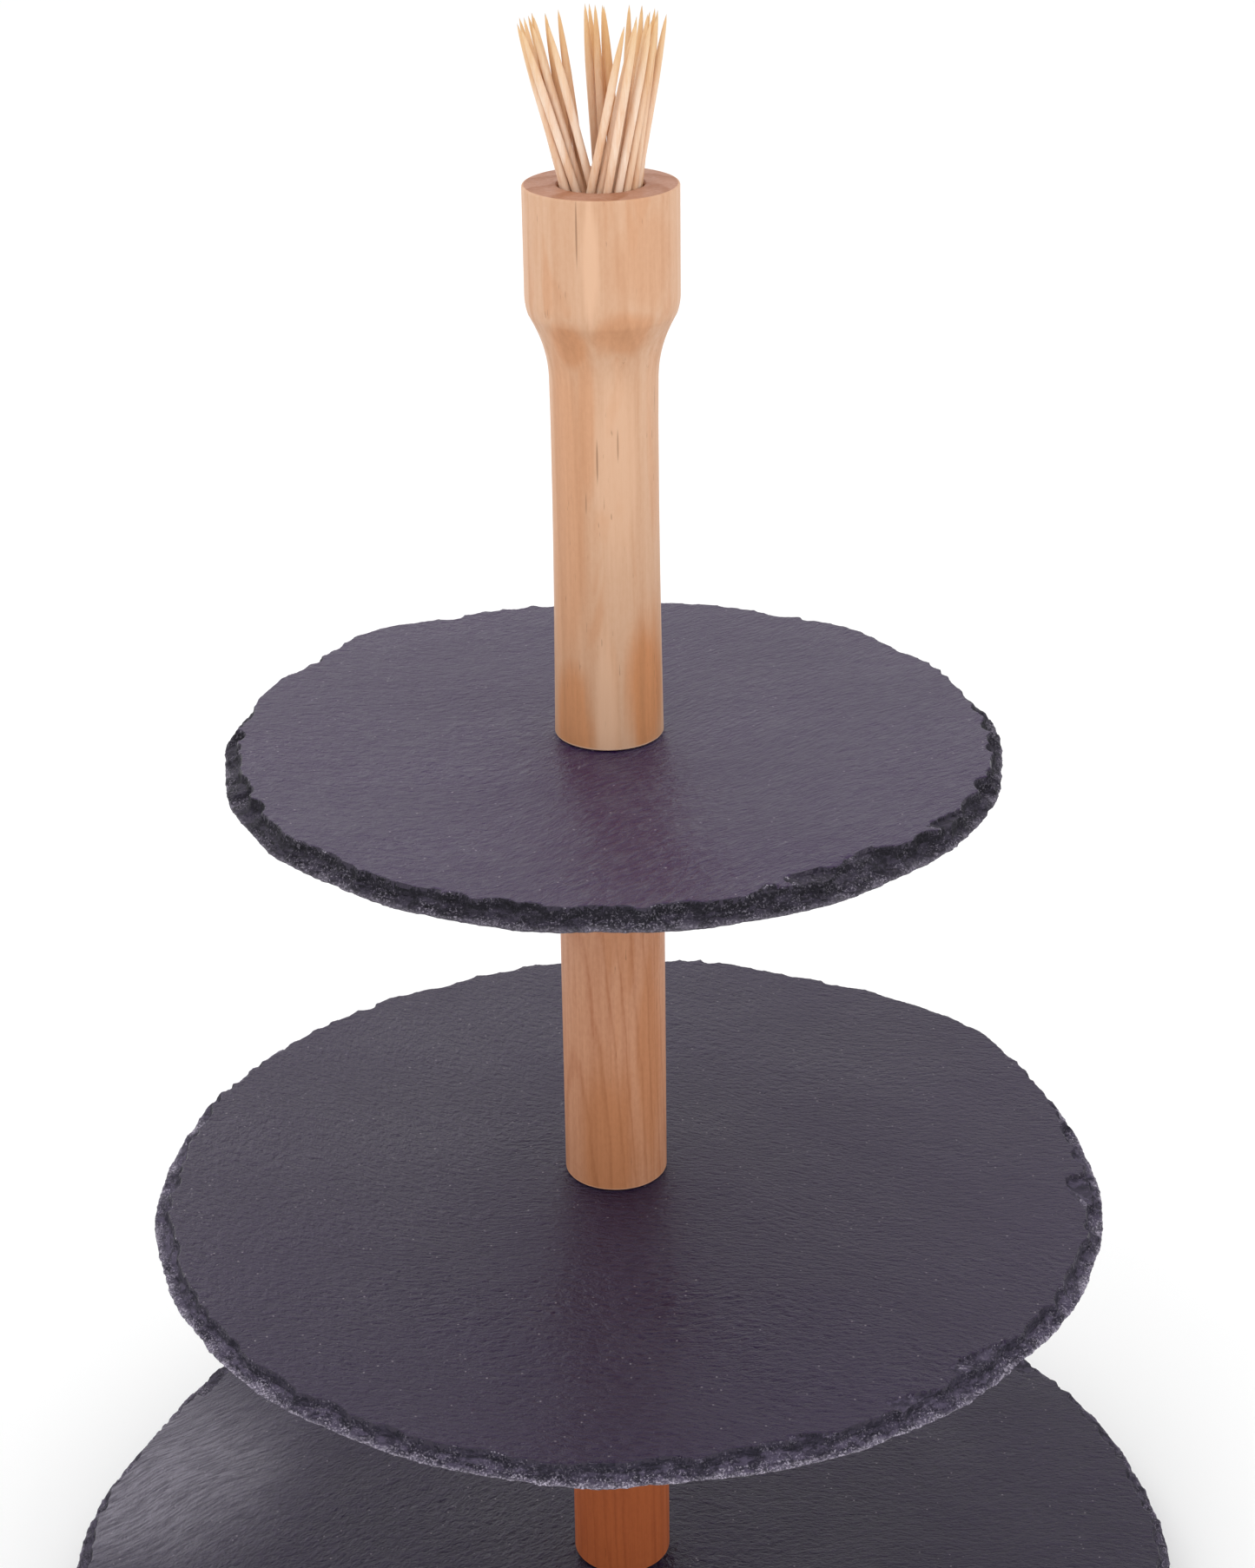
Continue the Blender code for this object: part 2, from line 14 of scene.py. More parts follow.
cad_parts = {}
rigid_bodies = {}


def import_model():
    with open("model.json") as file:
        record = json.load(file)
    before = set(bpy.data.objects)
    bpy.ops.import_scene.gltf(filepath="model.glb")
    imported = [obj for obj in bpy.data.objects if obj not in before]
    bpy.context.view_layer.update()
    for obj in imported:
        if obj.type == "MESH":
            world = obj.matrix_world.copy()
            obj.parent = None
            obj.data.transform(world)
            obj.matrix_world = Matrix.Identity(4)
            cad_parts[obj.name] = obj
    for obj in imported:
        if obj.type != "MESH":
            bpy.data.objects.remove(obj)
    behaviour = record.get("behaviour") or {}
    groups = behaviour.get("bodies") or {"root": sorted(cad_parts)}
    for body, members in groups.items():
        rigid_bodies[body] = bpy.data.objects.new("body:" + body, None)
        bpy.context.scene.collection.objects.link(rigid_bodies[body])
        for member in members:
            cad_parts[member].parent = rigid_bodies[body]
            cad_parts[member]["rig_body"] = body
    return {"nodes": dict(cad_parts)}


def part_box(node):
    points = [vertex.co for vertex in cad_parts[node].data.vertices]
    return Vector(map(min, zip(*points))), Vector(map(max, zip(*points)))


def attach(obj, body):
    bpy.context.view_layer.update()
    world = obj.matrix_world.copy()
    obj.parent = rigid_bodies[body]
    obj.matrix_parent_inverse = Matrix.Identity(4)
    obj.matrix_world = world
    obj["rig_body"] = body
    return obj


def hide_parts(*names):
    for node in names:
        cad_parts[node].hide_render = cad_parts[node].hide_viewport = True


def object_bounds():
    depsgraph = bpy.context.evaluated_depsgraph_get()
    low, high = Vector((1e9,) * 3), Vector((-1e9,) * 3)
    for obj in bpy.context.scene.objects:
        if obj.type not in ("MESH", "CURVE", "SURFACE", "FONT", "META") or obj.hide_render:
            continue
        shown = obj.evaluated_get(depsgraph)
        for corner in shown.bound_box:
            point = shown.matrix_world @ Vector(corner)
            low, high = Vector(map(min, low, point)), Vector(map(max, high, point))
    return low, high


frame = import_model()
CAD_BOX = [list(corner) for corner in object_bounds()]

MM = 0.001
TAU = 2.0 * math.pi
SEED_STRIDE = 7.31          # between the noise of one seed and the next

# Camera, mm and degrees
CAMERA_PLACE = (4.5, -689.0, 579.4)
CAMERA_PITCH = 24.64
CAMERA_ROLL = -0.76
CAMERA_LENS = 66.42

# Slates, mm
HOLE_RADIUS = 5.0
LIP_HEIGHT = 1.1            # the widest line of a plate lies this far above its underside
RIM_STEP = 0.32             # between the mesh rings across the chipped rim
RIM_RINGS = 30
CHIP_SPACING = (2.8, 8.5)
CHIP_HALF_WIDTH = (3.2, 11.5)
CHIP_REACH = (0.75, 1.25)   # of a chip, as a share of the rim's width there
CHIP_BEND = (0.7, 1.7)      # power of a chip's slope
CHIP_KNEE = (0.35, 0.75)    # share of a chip's height that slopes; the rest is a steep step
CHIP_STEP_FROM = 0.84       # where that step begins, as a share of the chip's reach
CHIP_SKEW = 0.25            # sideways lean of a chip, at most
BEVEL_REACH = 0.62          # of the slope between chips, as a share of the rim's width
BEVEL_BEND = 1.1            # power of that slope
LAYER = (0.35, 0.9)         # thickness of the layers that the rim breaks in
LAYER_WAVES = 0.45          # how far the layers rise and dip
LEDGES = 0.95               # how fully a slope breaks into ledges
RAGGED_RINGS = 12.0         # mesh rings over which the lip's wander dies away
BROKEN_DEPTH = 0.10         # below the face, where the rim's finish begins
STEM_CLEAR = 17.0           # the plates are flat this far from the stem's axis
UNDERCUT = (0.75, 0.45, 0.2, 0.0)  # heights of the mesh rings under the lip, as shares of its height
UNDERCUT_WIDTH = 0.9        # least distance from the lip in to the flat underside
FACE_STRETCH = 0.35         # of the face's waves along the grain; less is longer
FACE_FADE = 12.0            # width of the ring round the stem where the waves begin
INNER_STEP = (0.9, 0.14, 4.2)  # between mesh rings of a face: the least, growth per mm, the most

# Distances in from the rim where the mesh halves: one in mm, two as shares of the way in
MESH_THINS = (5.0, 0.35, 0.75)

# Sums of noise: weight in mm, size of the features in mm, step of the seed, octaves
LIP_WANDER = ((0.30, 4.0, 0, 3), (0.45, 15.0, 1, 2), (0.16, 1.2, 12, 2))
LIP_RISE = ((0.7, 5.0, 2, 3), (0.2, 1.3, 13, 2))
FACE_WAVES = ((0.16, 22.0, 5, 3), (0.05, 5.0, 6, 2))

# steps is the mesh steps round the rim. grain is the direction of the ridges in degrees, then where
# across the plate they bend and by what slope. face multiplies the red, green and blue of the
# face's colours; its low values on the middle and bottom plates are painted shade from the plates
# above them. rim multiplies the rim's colours, and dust is how dusty the rim is.
# A flake is a thin layer broken off outwards of a line in the plate's plane. The line starts at a
# fine tip and runs towards the lip: azimuth and radius of both ends, depth and bow, in mm.
PLATES = {
    "bottom_slate": dict(
        steps=1536, seed=5, grain=(38.0, 20.0, -0.7), face=(0.08, 0.04, 0.15), rim=0.7, dust=0.6,
        flakes=(
            (152.0, 153.0, 140.0, 160.0, 0.6, 1.0), (30.0, 152.0, 44.0, 160.0, 0.7, 1.5),
            (262.0, 152.0, 275.0, 160.0, 0.8, 1.0))),
    "middle_slate": dict(
        steps=1536, seed=8, grain=(-46.0, -30.0, 0.6), face=(0.20, 0.17, 0.25), rim=0.95, dust=1.0,
        flakes=(
            (354.5, 121.0, 357.5, 134.0, 1.5, 0.3), (189.0, 121.5, 184.5, 134.0, 1.6, -0.6),
            (216.5, 124.5, 209.0, 130.0, 0.7, -1.2), (225.0, 127.0, 215.0, 133.0, 0.8, -1.0),
            (288.0, 129.0, 294.0, 133.0, 0.9, 0.5), (310.0, 125.5, 322.0, 133.0, 0.8, 0.8),
            (300.0, 127.5, 309.0, 133.5, 0.7, 0.8), (256.0, 129.5, 247.0, 134.0, 0.8, -1.0))),
    "top_slate": dict(
        steps=1280, seed=13, grain=(-4.0, -28.0, 0.8), face=(0.48, 0.55, 0.47), rim=0.45, dust=0.45,
        flakes=(
            (310.3, 91.4, 312.2, 102.6, 1.2, 0.6), (294.5, 93.1, 305.5, 101.0, 1.0, 1.6),
            (291.7, 96.2, 295.2, 104.0, 0.9, 0.4), (247.4, 97.6, 238.5, 103.0, 0.9, -0.6),
            (228.0, 97.0, 222.0, 102.0, 0.8, -1.2), (321.0, 96.8, 333.0, 103.0, 0.9, 1.2),
            (201.0, 96.0, 197.0, 102.0, 0.7, 0.4), (266.0, 100.0, 276.0, 104.5, 0.6, 0.8))),
}

# Where a face has a painted sheen, the reflection of a light drawn as pale lines: x, y and radius of the
# patch, mm
PAINTED_SHEENS = {"bottom_slate": (-152.0, 38.0, 58.0)}

# Stem, mm
TURNED_STEPS = 128
WOOD_EDGE = 0.5
WASHER_POCKET_RADIUS = 10.3
WASHER_POCKET_DEPTH = 1.3
INSERT_BORE_RADIUS = 6.3
INSERT_BORE_DEPTH = 22.0
STUD_BORE_RADIUS = 4.3
STUD_BORE_DEPTH = 20.3
HANDLE_WAIST_RADIUS = 13.4
HANDLE_WAIST_HEIGHT = 68.0
HANDLE_BASE_RADIUS = 14.1
FLARE = ((13.5, 13.5, 15.9, 18.3), (94.0, 101.6, 106.8, 111.2))  # control radii, heights
SHAFT_STEP = 6              # between the mesh rings of the handle's shaft
SHAFT_BEND = 1.6            # power of the shaft's taper from its foot to its waist
CUP_ROUNDING = 4.6          # height over which the cup's wall curves in above the flare
CUP_BORE_RADIUS = 10.5
CUP_BORE_DEPTH = 24.6
TOOTHPICK_RADIUS = 1.0
TOOTHPICK_POINT = 15.0
STICKS_TOP = CAD_BOX[1][2] / MM
GOLDEN_TIP = 24.0            # depth below the highest tip over which the toothpicks' ends turn golden

# Warmth of the toothpicks, from 0 for pale to 1 for orange: the wood's own tone, with painted shade at
# the back of the bunch and painted light at its front
STICK_SHADES = 5
STICK_WARMTH = 0.45          # in the middle of the bunch
PAINTED_SHADE_BEHIND = 0.50         # painted shade added at the back of the cup, and taken off at its front as painted light
WARMTH_SPREAD = 0.35         # random part, either way

FOOT_OF = {name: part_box(name)[0].z / MM for name in ("lower_column", "upper_column", "handle")}

# Wood of each length of the stem. pith is the x and y in mm of the growth rings' centre at height 0.
# Spots are azimuth, radius, height above the foot, half-width, half-height and strength, where the
# azimuth of the front is 270 degrees.
WOODS = {
    # The columns' colours are darker and more orange than the handle's, the lower column's most: the
    # wood's own tone with painted shade and painted bounce light from the dark plates round them.
    "lower_column": dict(
        pale=(0.47, 0.122, 0.038), dark=(0.33, 0.074, 0.022), warm=(0.40, 0.092, 0.026),
        pith=(14.0, -30.0), lean=(0.03, 0.02), seed=3, ring_width=3.0),
    "upper_column": dict(
        pale=(0.65, 0.325, 0.187), dark=(0.44, 0.160, 0.072), warm=(0.55, 0.210, 0.080),
        pith=(-26.0, -24.0), lean=(0.05, 0.02), seed=6, ring_width=3.2, late_from=0.62,
        warm_spots=((262.0, 14.0, 8.0, 9.0, 36.0, 0.7), (315.0, 14.0, 40.0, 5.0, 40.0, 0.6))),
    "handle": dict(
        pale=(0.66, 0.410, 0.265), dark=(0.58, 0.315, 0.180), warm=(0.62, 0.270, 0.115),
        pith=(17.0, -26.0), lean=(0.045, -0.03), seed=2, ring_width=8.0, late_from=0.3,
        warm_spots=(
            (238.0, 16.5, 106.0, 6.0, 9.0, 0.75), (250.0, 14.5, 86.0, 3.0, 30.0, 0.50),
            (288.0, 18.0, 109.5, 9.0, 7.0, 0.60), (222.0, 14.0, 60.0, 8.0, 60.0, 0.5),
            (318.0, 14.0, 16.0, 8.0, 24.0, 1.0), (226.0, 14.0, 6.0, 8.0, 24.0, 0.9),
            (305.0, 19.0, 128.0, 11.0, 14.0, 0.3), (60.0, 14.0, 30.0, 7.0, 30.0, 0.8),
            (110.0, 17.0, 104.0, 5.0, 10.0, 0.6)),
        pale_spots=(
            (262.0, 19.0, 128.0, 2.4, 17.0, 0.8), (268.0, 14.0, 12.0, 3.0, 26.0, 0.7),
            (283.0, 13.5, 75.0, 6.0, 26.0, 0.5)),
        checks=(
            (252.2, 19.0, 135.0, 0.28, 9.0, 0.6), (262.0, 13.4, 77.0, 0.30, 6.0, 0.6),
            (284.0, 13.4, 81.0, 0.26, 4.5, 0.5), (249.0, 13.4, 66.0, 0.24, 3.0, 0.4))),
}

# Studio light, as the world's strength at low and high directions
WALL_LIGHT = 1.00
CEILING_LIGHT = 1.03
SOFT_BOXES = (               # name, place, what it points at, sides and power, in metres and watts
    ("key", (-1.2, -1.5, 1.9), (0.0, 0.0, 0.25), (1.4, 1.4), 8.0),
    ("fill", (1.7, -0.9, 1.2), (0.0, 0.0, 0.25), (1.4, 1.4), 6.0),
    ("back", (-1.3, 1.6, 1.3), (0.0, 0.0, 0.1), (0.9, 0.9), 6.0))

# M8 hardware, mm
THREAD_PITCH = 1.25
THREAD_DEPTH = 0.62
THREAD_STEPS = 40
THREAD_RINGS = 8             # mesh rings in one turn
THREAD_RUN_OUT = 1.0
THREAD_CREST = 0.12          # width of the flat crest, as a share of the pitch
THREAD_FLANKS = 0.7          # width of both flanks together, as a share of the pitch
INSERT_CLEARANCE = 0.3
KNURL_DEPTH = 0.25
INSERT_CHAMFER = 0.3
SHANK_RADIUS = 4.0
SCREW_HEAD_HEIGHT = 4.4
SCREW_HEAD_FLAT = 4.4        # radius of the flat round the socket
SOCKET_HALF_WIDTH = 2.5
SOCKET_DEPTH = 2.9
WASHER_EDGE = 0.2

# Rubber feet, mm
FOOT_TAPER = 1.5             # the tread's radius is smaller by this than the top's
TREAD_EDGE = 0.9
DISH_DEPTH = 0.5


# Shapes

def fractal(points, size, seed, octaves=2):
    """Smooth noise of about -1 to 1 at points in mm, with features of that size."""
    scaled = np.asarray(points, float) / size + seed * SEED_STRIDE
    return np.array([noise.fractal(Vector(p), 1.0, 2.0, octaves) for p in scaled])


def noise_sum(points, seed, terms):
    """Noise of several sizes added up, in mm."""
    return sum(weight * fractal(points, size, seed + step, octaves)
               for weight, size, step, octaves in terms)


def smooth(x):
    """0 below 0, 1 above 1 and an S-curve between."""
    x = np.clip(x, 0.0, 1.0)
    return x * x * (3.0 - 2.0 * x)


def ring_of(radius, height, steps):
    """Points of a level circle or, with arrays, of any loop round the axis."""
    angle = np.arange(steps) * TAU / steps
    radius = np.broadcast_to(radius, steps)
    height = np.broadcast_to(height, steps)
    return np.column_stack((radius * np.cos(angle), radius * np.sin(angle), height))


def loft(rings, closed=False):
    """Vertices and faces of a skin over loops of points, with the number of the loop under each
    face. A loop may have half as many points as its neighbour, or one point only. Faces point away
    from the axis where the loops run upwards."""
    starts = np.cumsum([0] + [len(ring) for ring in rings])
    faces = []
    owners = []
    last = len(rings) if closed else len(rings) - 1
    for low in range(last):
        high = (low + 1) % len(rings)
        a, b = starts[low], starts[high]
        count, above = len(rings[low]), len(rings[high])
        before = len(faces)
        if above == 1:
            faces += [(a + i, a + (i + 1) % count, b) for i in range(count)]
        elif count == 1:
            faces += [(a, b + (i + 1) % above, b + i) for i in range(above)]
        elif count == above:
            faces += [(a + i, a + (i + 1) % count, b + (i + 1) % above, b + i) for i in range(count)]
        elif count == 2 * above:
            for i in range(above):
                j = (i + 1) % above
                faces.append((a + 2 * i, a + 2 * i + 1, b + i))
                faces.append((a + 2 * i + 1, a + (2 * i + 2) % count, b + j, b + i))
        else:
            for i in range(count):
                j = (i + 1) % count
                faces.append((a + i, b + 2 * i + 1, b + 2 * i))
                faces.append((a + i, a + j, b + (2 * i + 2) % above, b + 2 * i + 1))
        owners += [low] * (len(faces) - before)
    return np.vstack(rings), faces, owners


def make_piece(name, points, faces, materials, sharp=35.0, face_materials=None):
    """A named, shaded mesh object from points in mm."""
    mesh = bpy.data.meshes.new(name)
    mesh.from_pydata((np.asarray(points) * MM).tolist(), [], [tuple(map(int, f)) for f in faces])
    for material in materials:
        mesh.materials.append(material)
    if face_materials is not None:
        mesh.polygons.foreach_set("material_index", np.asarray(face_materials, np.int32))
    mesh.validate()
    mesh.shade_smooth()
    mesh.set_sharp_from_angle(angle=math.radians(sharp))
    obj = bpy.data.objects.new(name, mesh)
    bpy.context.scene.collection.objects.link(obj)
    return obj


def stand_for(obj, node):
    """The piece is shown in place of a CAD node and moves with that node's body."""
    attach(obj, frame["nodes"][node]["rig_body"])
    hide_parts(node)


def node_box(node):
    """Lowest and highest corner of a CAD node, in mm."""
    low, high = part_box(node)
    return low / MM, high / MM


def rounded(radius, height, way_r, way_z, size, steps=6):
    """Points round an outer edge at (radius, height), from its upright side to its flat side."""
    turn = [math.pi / 2 * i / steps for i in range(steps + 1)]
    return [(radius - way_r * size * (1 - math.cos(t)), height - way_z * size * (1 - math.sin(t)))
            for t in turn]


def turned(name, profile, materials, place=(0.0, 0.0, 0.0), steps=TURNED_STEPS, sharp=20.0,
           closed=False, ends=()):
    """Revolve (radius, height) points; the stretches whose numbers are in ends get material 2."""
    rings = [ring_of(r, z, steps if r > 0.0 else 1) for r, z in profile]
    points, faces, owners = loft(rings, closed)
    chosen = [1 if owner in ends else 0 for owner in owners]
    return make_piece(name, points + np.array(place), faces, materials, sharp, chosen)


# Materials

class Finish:
    """A material's node tree, with short calls for the nodes that the finishes share.
    Places are in millimetres of the piece's own space, which is the frame's."""

    def __init__(self, name, **constants):
        self.material = bpy.data.materials.new(name)
        self.material.use_nodes = True
        self.tree = self.material.node_tree
        self.shader = self.tree.nodes["Principled BSDF"]
        for key, value in constants.items():
            self.shader.inputs[key.replace("_", " ")].default_value = value
        space = self.add("TexCoord", {})
        self.place = space.outputs["Object"]
        self.facing = space.outputs["Normal"]

    def add(self, kind, inputs, **settings):
        made = self.tree.nodes.new("ShaderNode" + kind)
        for key, value in settings.items():
            setattr(made, key, value)
        for key, value in inputs.items():
            self.feed(made.inputs[key], value)
        return made

    def feed(self, socket, value):
        if isinstance(value, bpy.types.NodeSocket):
            self.tree.links.new(value, socket)
        else:
            socket.default_value = value

    def at(self, scale=(1.0, 1.0, 1.0), turn=0.0, shift=(0.0, 0.0, 0.0)):
        """Coordinates in mm, turned about Z by degrees and then stretched."""
        turned_by = self.add("Mapping", {"Vector": self.place, "Scale": (1 / MM,) * 3})
        turned_by.inputs["Rotation"].default_value = (0.0, 0.0, math.radians(turn))
        stretched = self.add("Mapping", {
            "Vector": turned_by.outputs[0], "Scale": scale, "Location": shift})
        return stretched.outputs[0]

    def noise(self, vector, size, detail=2.0, roughness=0.5, distortion=0.0):
        made = self.add("TexNoise", {
            "Vector": vector, "Scale": 1.0 / size, "Detail": detail, "Roughness": roughness,
            "Distortion": distortion})
        return made.outputs["Fac"]

    def cells(self, vector, size):
        """Distance from the nearest of many scattered points, in units of their size."""
        made = self.add("TexVoronoi", {"Vector": vector, "Scale": 1.0 / size})
        return made.outputs["Distance"]

    def span(self, value, low, high, to_low=0.0, to_high=1.0):
        """Bring low..high to to_low..to_high along an S-curve, clamped."""
        made = self.add("MapRange", {
            "Value": value, "From Min": low, "From Max": high, "To Min": to_low,
            "To Max": to_high}, interpolation_type="SMOOTHSTEP")
        return made.outputs["Result"]

    def math(self, operation, a, b=0.0, c=0.0):
        made = self.add("Math", {0: a, 1: b, 2: c}, operation=operation)
        return made.outputs[0]

    def mix(self, share, a, b, blend="MIX"):
        made = self.add("Mix", {}, data_type="RGBA", blend_type=blend)
        sockets = [s for s in made.inputs if s.enabled]
        for socket, value in zip(sockets, (share, a, b)):
            self.feed(socket, value)
        return next(s for s in made.outputs if s.enabled)

    def spots(self, foot, spots, rag=0.0, ragged=None):
        """Soft spots on a turned piece, each given as azimuth in degrees, radius, height above foot,
        half-width, half-height and strength. A noise value can make their outlines ragged."""
        total = 0.0
        for azimuth, radius, height, wide, tall, strength in spots:
            turn = math.radians(azimuth)
            centre = (radius * math.cos(turn), radius * math.sin(turn), foot + height)
            off = self.add("VectorMath", {0: self.at(), 1: centre}, operation="SUBTRACT").outputs[0]
            sized = self.add("VectorMath", {0: off, 1: (1 / wide, 1 / wide, 1 / tall)},
                             operation="MULTIPLY").outputs[0]
            reach = self.add("VectorMath", {0: sized}, operation="LENGTH").outputs["Value"]
            if ragged is not None:
                reach = self.math("MULTIPLY_ADD", ragged, rag, self.math("SUBTRACT", reach, rag / 2))
            total = self.math("MAXIMUM", total, self.span(reach, 1.15, 0.5, 0.0, strength))
        return total

    def bump(self, height, distance, strength=1.0, normal=None):
        """distance is the relief in mm between heights 0 and 1."""
        made = self.add("Bump", {
            "Height": height, "Distance": distance * MM, "Strength": strength})
        if normal is not None:
            self.feed(made.inputs["Normal"], normal)
        return made.outputs["Normal"]

    def done(self, colour=None, roughness=None, normal=None):
        for key, value in (("Base Color", colour), ("Roughness", roughness), ("Normal", normal)):
            if value is not None:
                self.feed(self.shader.inputs[key], value)
        return self.material


def rgb(red, green, blue):
    return (red, green, blue, 1.0)


def tinted(colour, times):
    """A colour with each part multiplied by one number or by its own."""
    factors = times if isinstance(times, tuple) else (times,) * 3
    return tuple(min(1.0, part * factor) for part, factor in zip(colour, factors)) + (1.0,)


def slate_face(name, grain, seed, paleness, painted_sheen):
    """Riven face: short ridges and fine lines along the grain with painted highlights on their crests,
    small pits, broad cloudy shade and tiny pale specks, and painted shade, near black, where the
    surface tilts. Near the patch that the plate is given, the fine lines carry a painted sheen, the
    reflection of a light."""
    direction, bend_from, slope = grain
    f = Finish(name, IOR=1.5, Specular_IOR_Level=0.50, Specular_Tint=rgb(0.93, 0.84, 1.0))
    shift = (seed * 31.0, seed * 17.0, 0.0)
    swirl = f.noise(f.at(shift=shift), 60.0, 1.0)
    x, y, _ = f.add("SeparateXYZ", {"Vector": f.at(turn=-direction)}).outputs
    bent = f.math("SMOOTH_MAX", f.math("SUBTRACT", x, bend_from), 0.0, 40.0)
    across = f.math("MULTIPLY_ADD", bent, -slope, f.math("MULTIPLY_ADD", swirl, 22.0, y))

    def drawn_out(ratio, size, detail, roughness, distortion=0.0):
        place = f.add("CombineXYZ", {"X": f.math("MULTIPLY", x, ratio), "Y": across, "Z": seed * 5.0})
        return f.noise(place.outputs[0], size, detail, roughness, distortion)

    ridges = drawn_out(0.58, 1.6, 4.0, 0.66, 0.35)
    lines = drawn_out(0.10, 0.8, 3.0, 0.6)
    pits = drawn_out(0.75, 0.9, 2.0, 0.6)
    waves = drawn_out(0.55, 11.0, 3.0, 0.5)
    clouds = f.noise(f.at(shift=shift), 45.0, 2.0, 0.5)
    specks = f.span(f.cells(f.at(shift=shift), 2.6), 0.13, 0.07)
    kept = f.math("MULTIPLY", specks, f.span(f.noise(f.at(shift=shift), 8.0, 1.0), 0.50, 0.58))
    shade = f.math("MULTIPLY_ADD", ridges, 0.70, f.math("MULTIPLY", clouds, 0.30))
    # paleness scales the face's colours; on the middle and bottom plates its low values are painted
    # shade from the plates above.
    colour = f.mix(f.span(shade, 0.37, 0.64), tinted((0.038, 0.002, 0.090), paleness),
                   tinted((0.112, 0.076, 0.162), paleness))
    # Painted highlights: the crests of the ridges and fine lines are made paler.
    crest = f.span(f.math("MULTIPLY_ADD", lines, 0.4, f.math("MULTIPLY", ridges, 0.6)), 0.56, 0.70)
    colour = f.mix(f.math("MULTIPLY", crest, 0.35), colour, tinted((0.26, 0.220, 0.310), paleness))
    colour = f.mix(f.math("MULTIPLY", kept, 0.6), colour, rgb(0.36, 0.32, 0.36))
    rough = f.span(f.math("ADD", ridges, clouds), 0.7, 1.3, 0.29, 0.42)
    # Painted sheen: within the patch the fine lines are made pale, as the reflection of a light on the
    # face.
    if painted_sheen:
        off = f.add("VectorMath", {0: f.at(), 1: (painted_sheen[0], painted_sheen[1], 0.0)}, operation="SUBTRACT")
        flat = f.add("VectorMath", {0: off.outputs[0], 1: (1.0, 1.0, 0.0)}, operation="MULTIPLY")
        reach = f.add("VectorMath", {0: flat.outputs[0]}, operation="LENGTH").outputs["Value"]
        patch = f.span(f.math("MULTIPLY_ADD", clouds, 20.0, reach), painted_sheen[2] + 22.0, 22.0)
        painted_sheen_lines = f.math("MULTIPLY", patch, f.span(lines, 0.36, 0.64, 0.35, 1.0))
        colour = f.mix(f.math("MULTIPLY", painted_sheen_lines, 0.75), colour, rgb(0.25, 0.235, 0.28))
    upward = f.add("SeparateXYZ", {"Vector": f.facing}).outputs["Z"]
    # Painted shade: the face goes near black where its surface tilts away from level.
    colour = f.mix(f.span(upward, 0.95, 0.70, 0.0, 0.9), colour, rgb(0.010, 0.008, 0.017))
    relief = f.bump(waves, 0.6, 0.8)
    relief = f.bump(ridges, 1.15, 1.0, relief)
    relief = f.bump(pits, 0.28, 1.0, relief)
    relief = f.bump(lines, 0.10, 0.6, relief)
    return f.done(colour, rough, relief)


def slate_break(name, seed, paleness, dust, underside, top):
    """Chipped rim: steep breaks get painted shade, near black, and level ledges painted light, paler
    and mottled, with fine layer lines. Crushed grains catch the light at the lip, above it and along
    parts of the upper edge; dust is how pale they make the lip."""
    f = Finish(name, IOR=1.45, Specular_IOR_Level=0.25)
    shift = (seed * 13.0, 0.0, seed * 3.0)
    layers = f.noise(f.at(scale=(0.22, 0.22, 1.6), shift=shift), 1.0, 4.0, 0.65, 0.7)
    facets = f.noise(f.at(scale=(1.0, 1.0, 2.5), shift=shift), 3.0, 3.0, 0.6, 0.5)
    grit = f.noise(f.at(shift=shift), 0.6, 4.0, 0.75)
    patches = f.noise(f.at(shift=shift), 6.0, 3.0, 0.6)
    height = f.add("SeparateXYZ", {"Vector": f.at()}).outputs["Z"]
    upward = f.add("SeparateXYZ", {"Vector": f.facing}).outputs["Z"]
    # Painted light on level ledges and painted shade on steep breaks, by how far the surface faces up.
    painted_ledge_light = f.span(upward, 0.50, 0.93)
    low = f.span(height, underside + 3.2, underside + 0.9)
    lip = f.span(height, underside + 1.9, underside + 0.9)
    edge = f.math("MULTIPLY", f.span(height, top - 0.6, top - 0.1), f.span(patches, 0.50, 0.60))
    grain = f.math("MULTIPLY_ADD", f.span(layers, 0.42, 0.62), 0.5, f.math(
        "MULTIPLY", f.span(facets, 0.44, 0.60), 0.5))
    mottled = f.math("MULTIPLY", painted_ledge_light, f.span(facets, 0.42, 0.58, 0.35, 1.1))
    tone = f.math("MULTIPLY_ADD", mottled, 0.62, f.math("MULTIPLY", grain, 0.42))
    colour = f.mix(tone, tinted((0.008, 0.0065, 0.0145), paleness),
                   tinted((0.080, 0.066, 0.108), paleness))
    crushed = f.math("MULTIPLY", f.span(grit, 0.54, 0.60), f.span(patches, 0.42, 0.56, 0.25, 1.0))
    dusty = f.math("MULTIPLY", crushed, f.math("MULTIPLY_ADD", low, 0.8 * dust, 0.22))
    dusty = f.math("MAXIMUM", dusty, f.math("MULTIPLY", lip, f.span(grit, 0.45, 0.60, 0.1, dust)))
    dusty = f.math("MAXIMUM", dusty, f.math("MULTIPLY", edge, f.span(grit, 0.50, 0.58, 0.0, 0.9)))
    colour = f.mix(dusty, colour, rgb(0.46, 0.42, 0.51))
    relief = f.bump(facets, 0.7, 0.7)
    relief = f.bump(layers, 0.35, 0.8, relief)
    relief = f.bump(grit, 0.12, 0.7, relief)
    return f.done(colour, f.span(grit, 0.3, 0.7, 0.6, 0.85), relief)


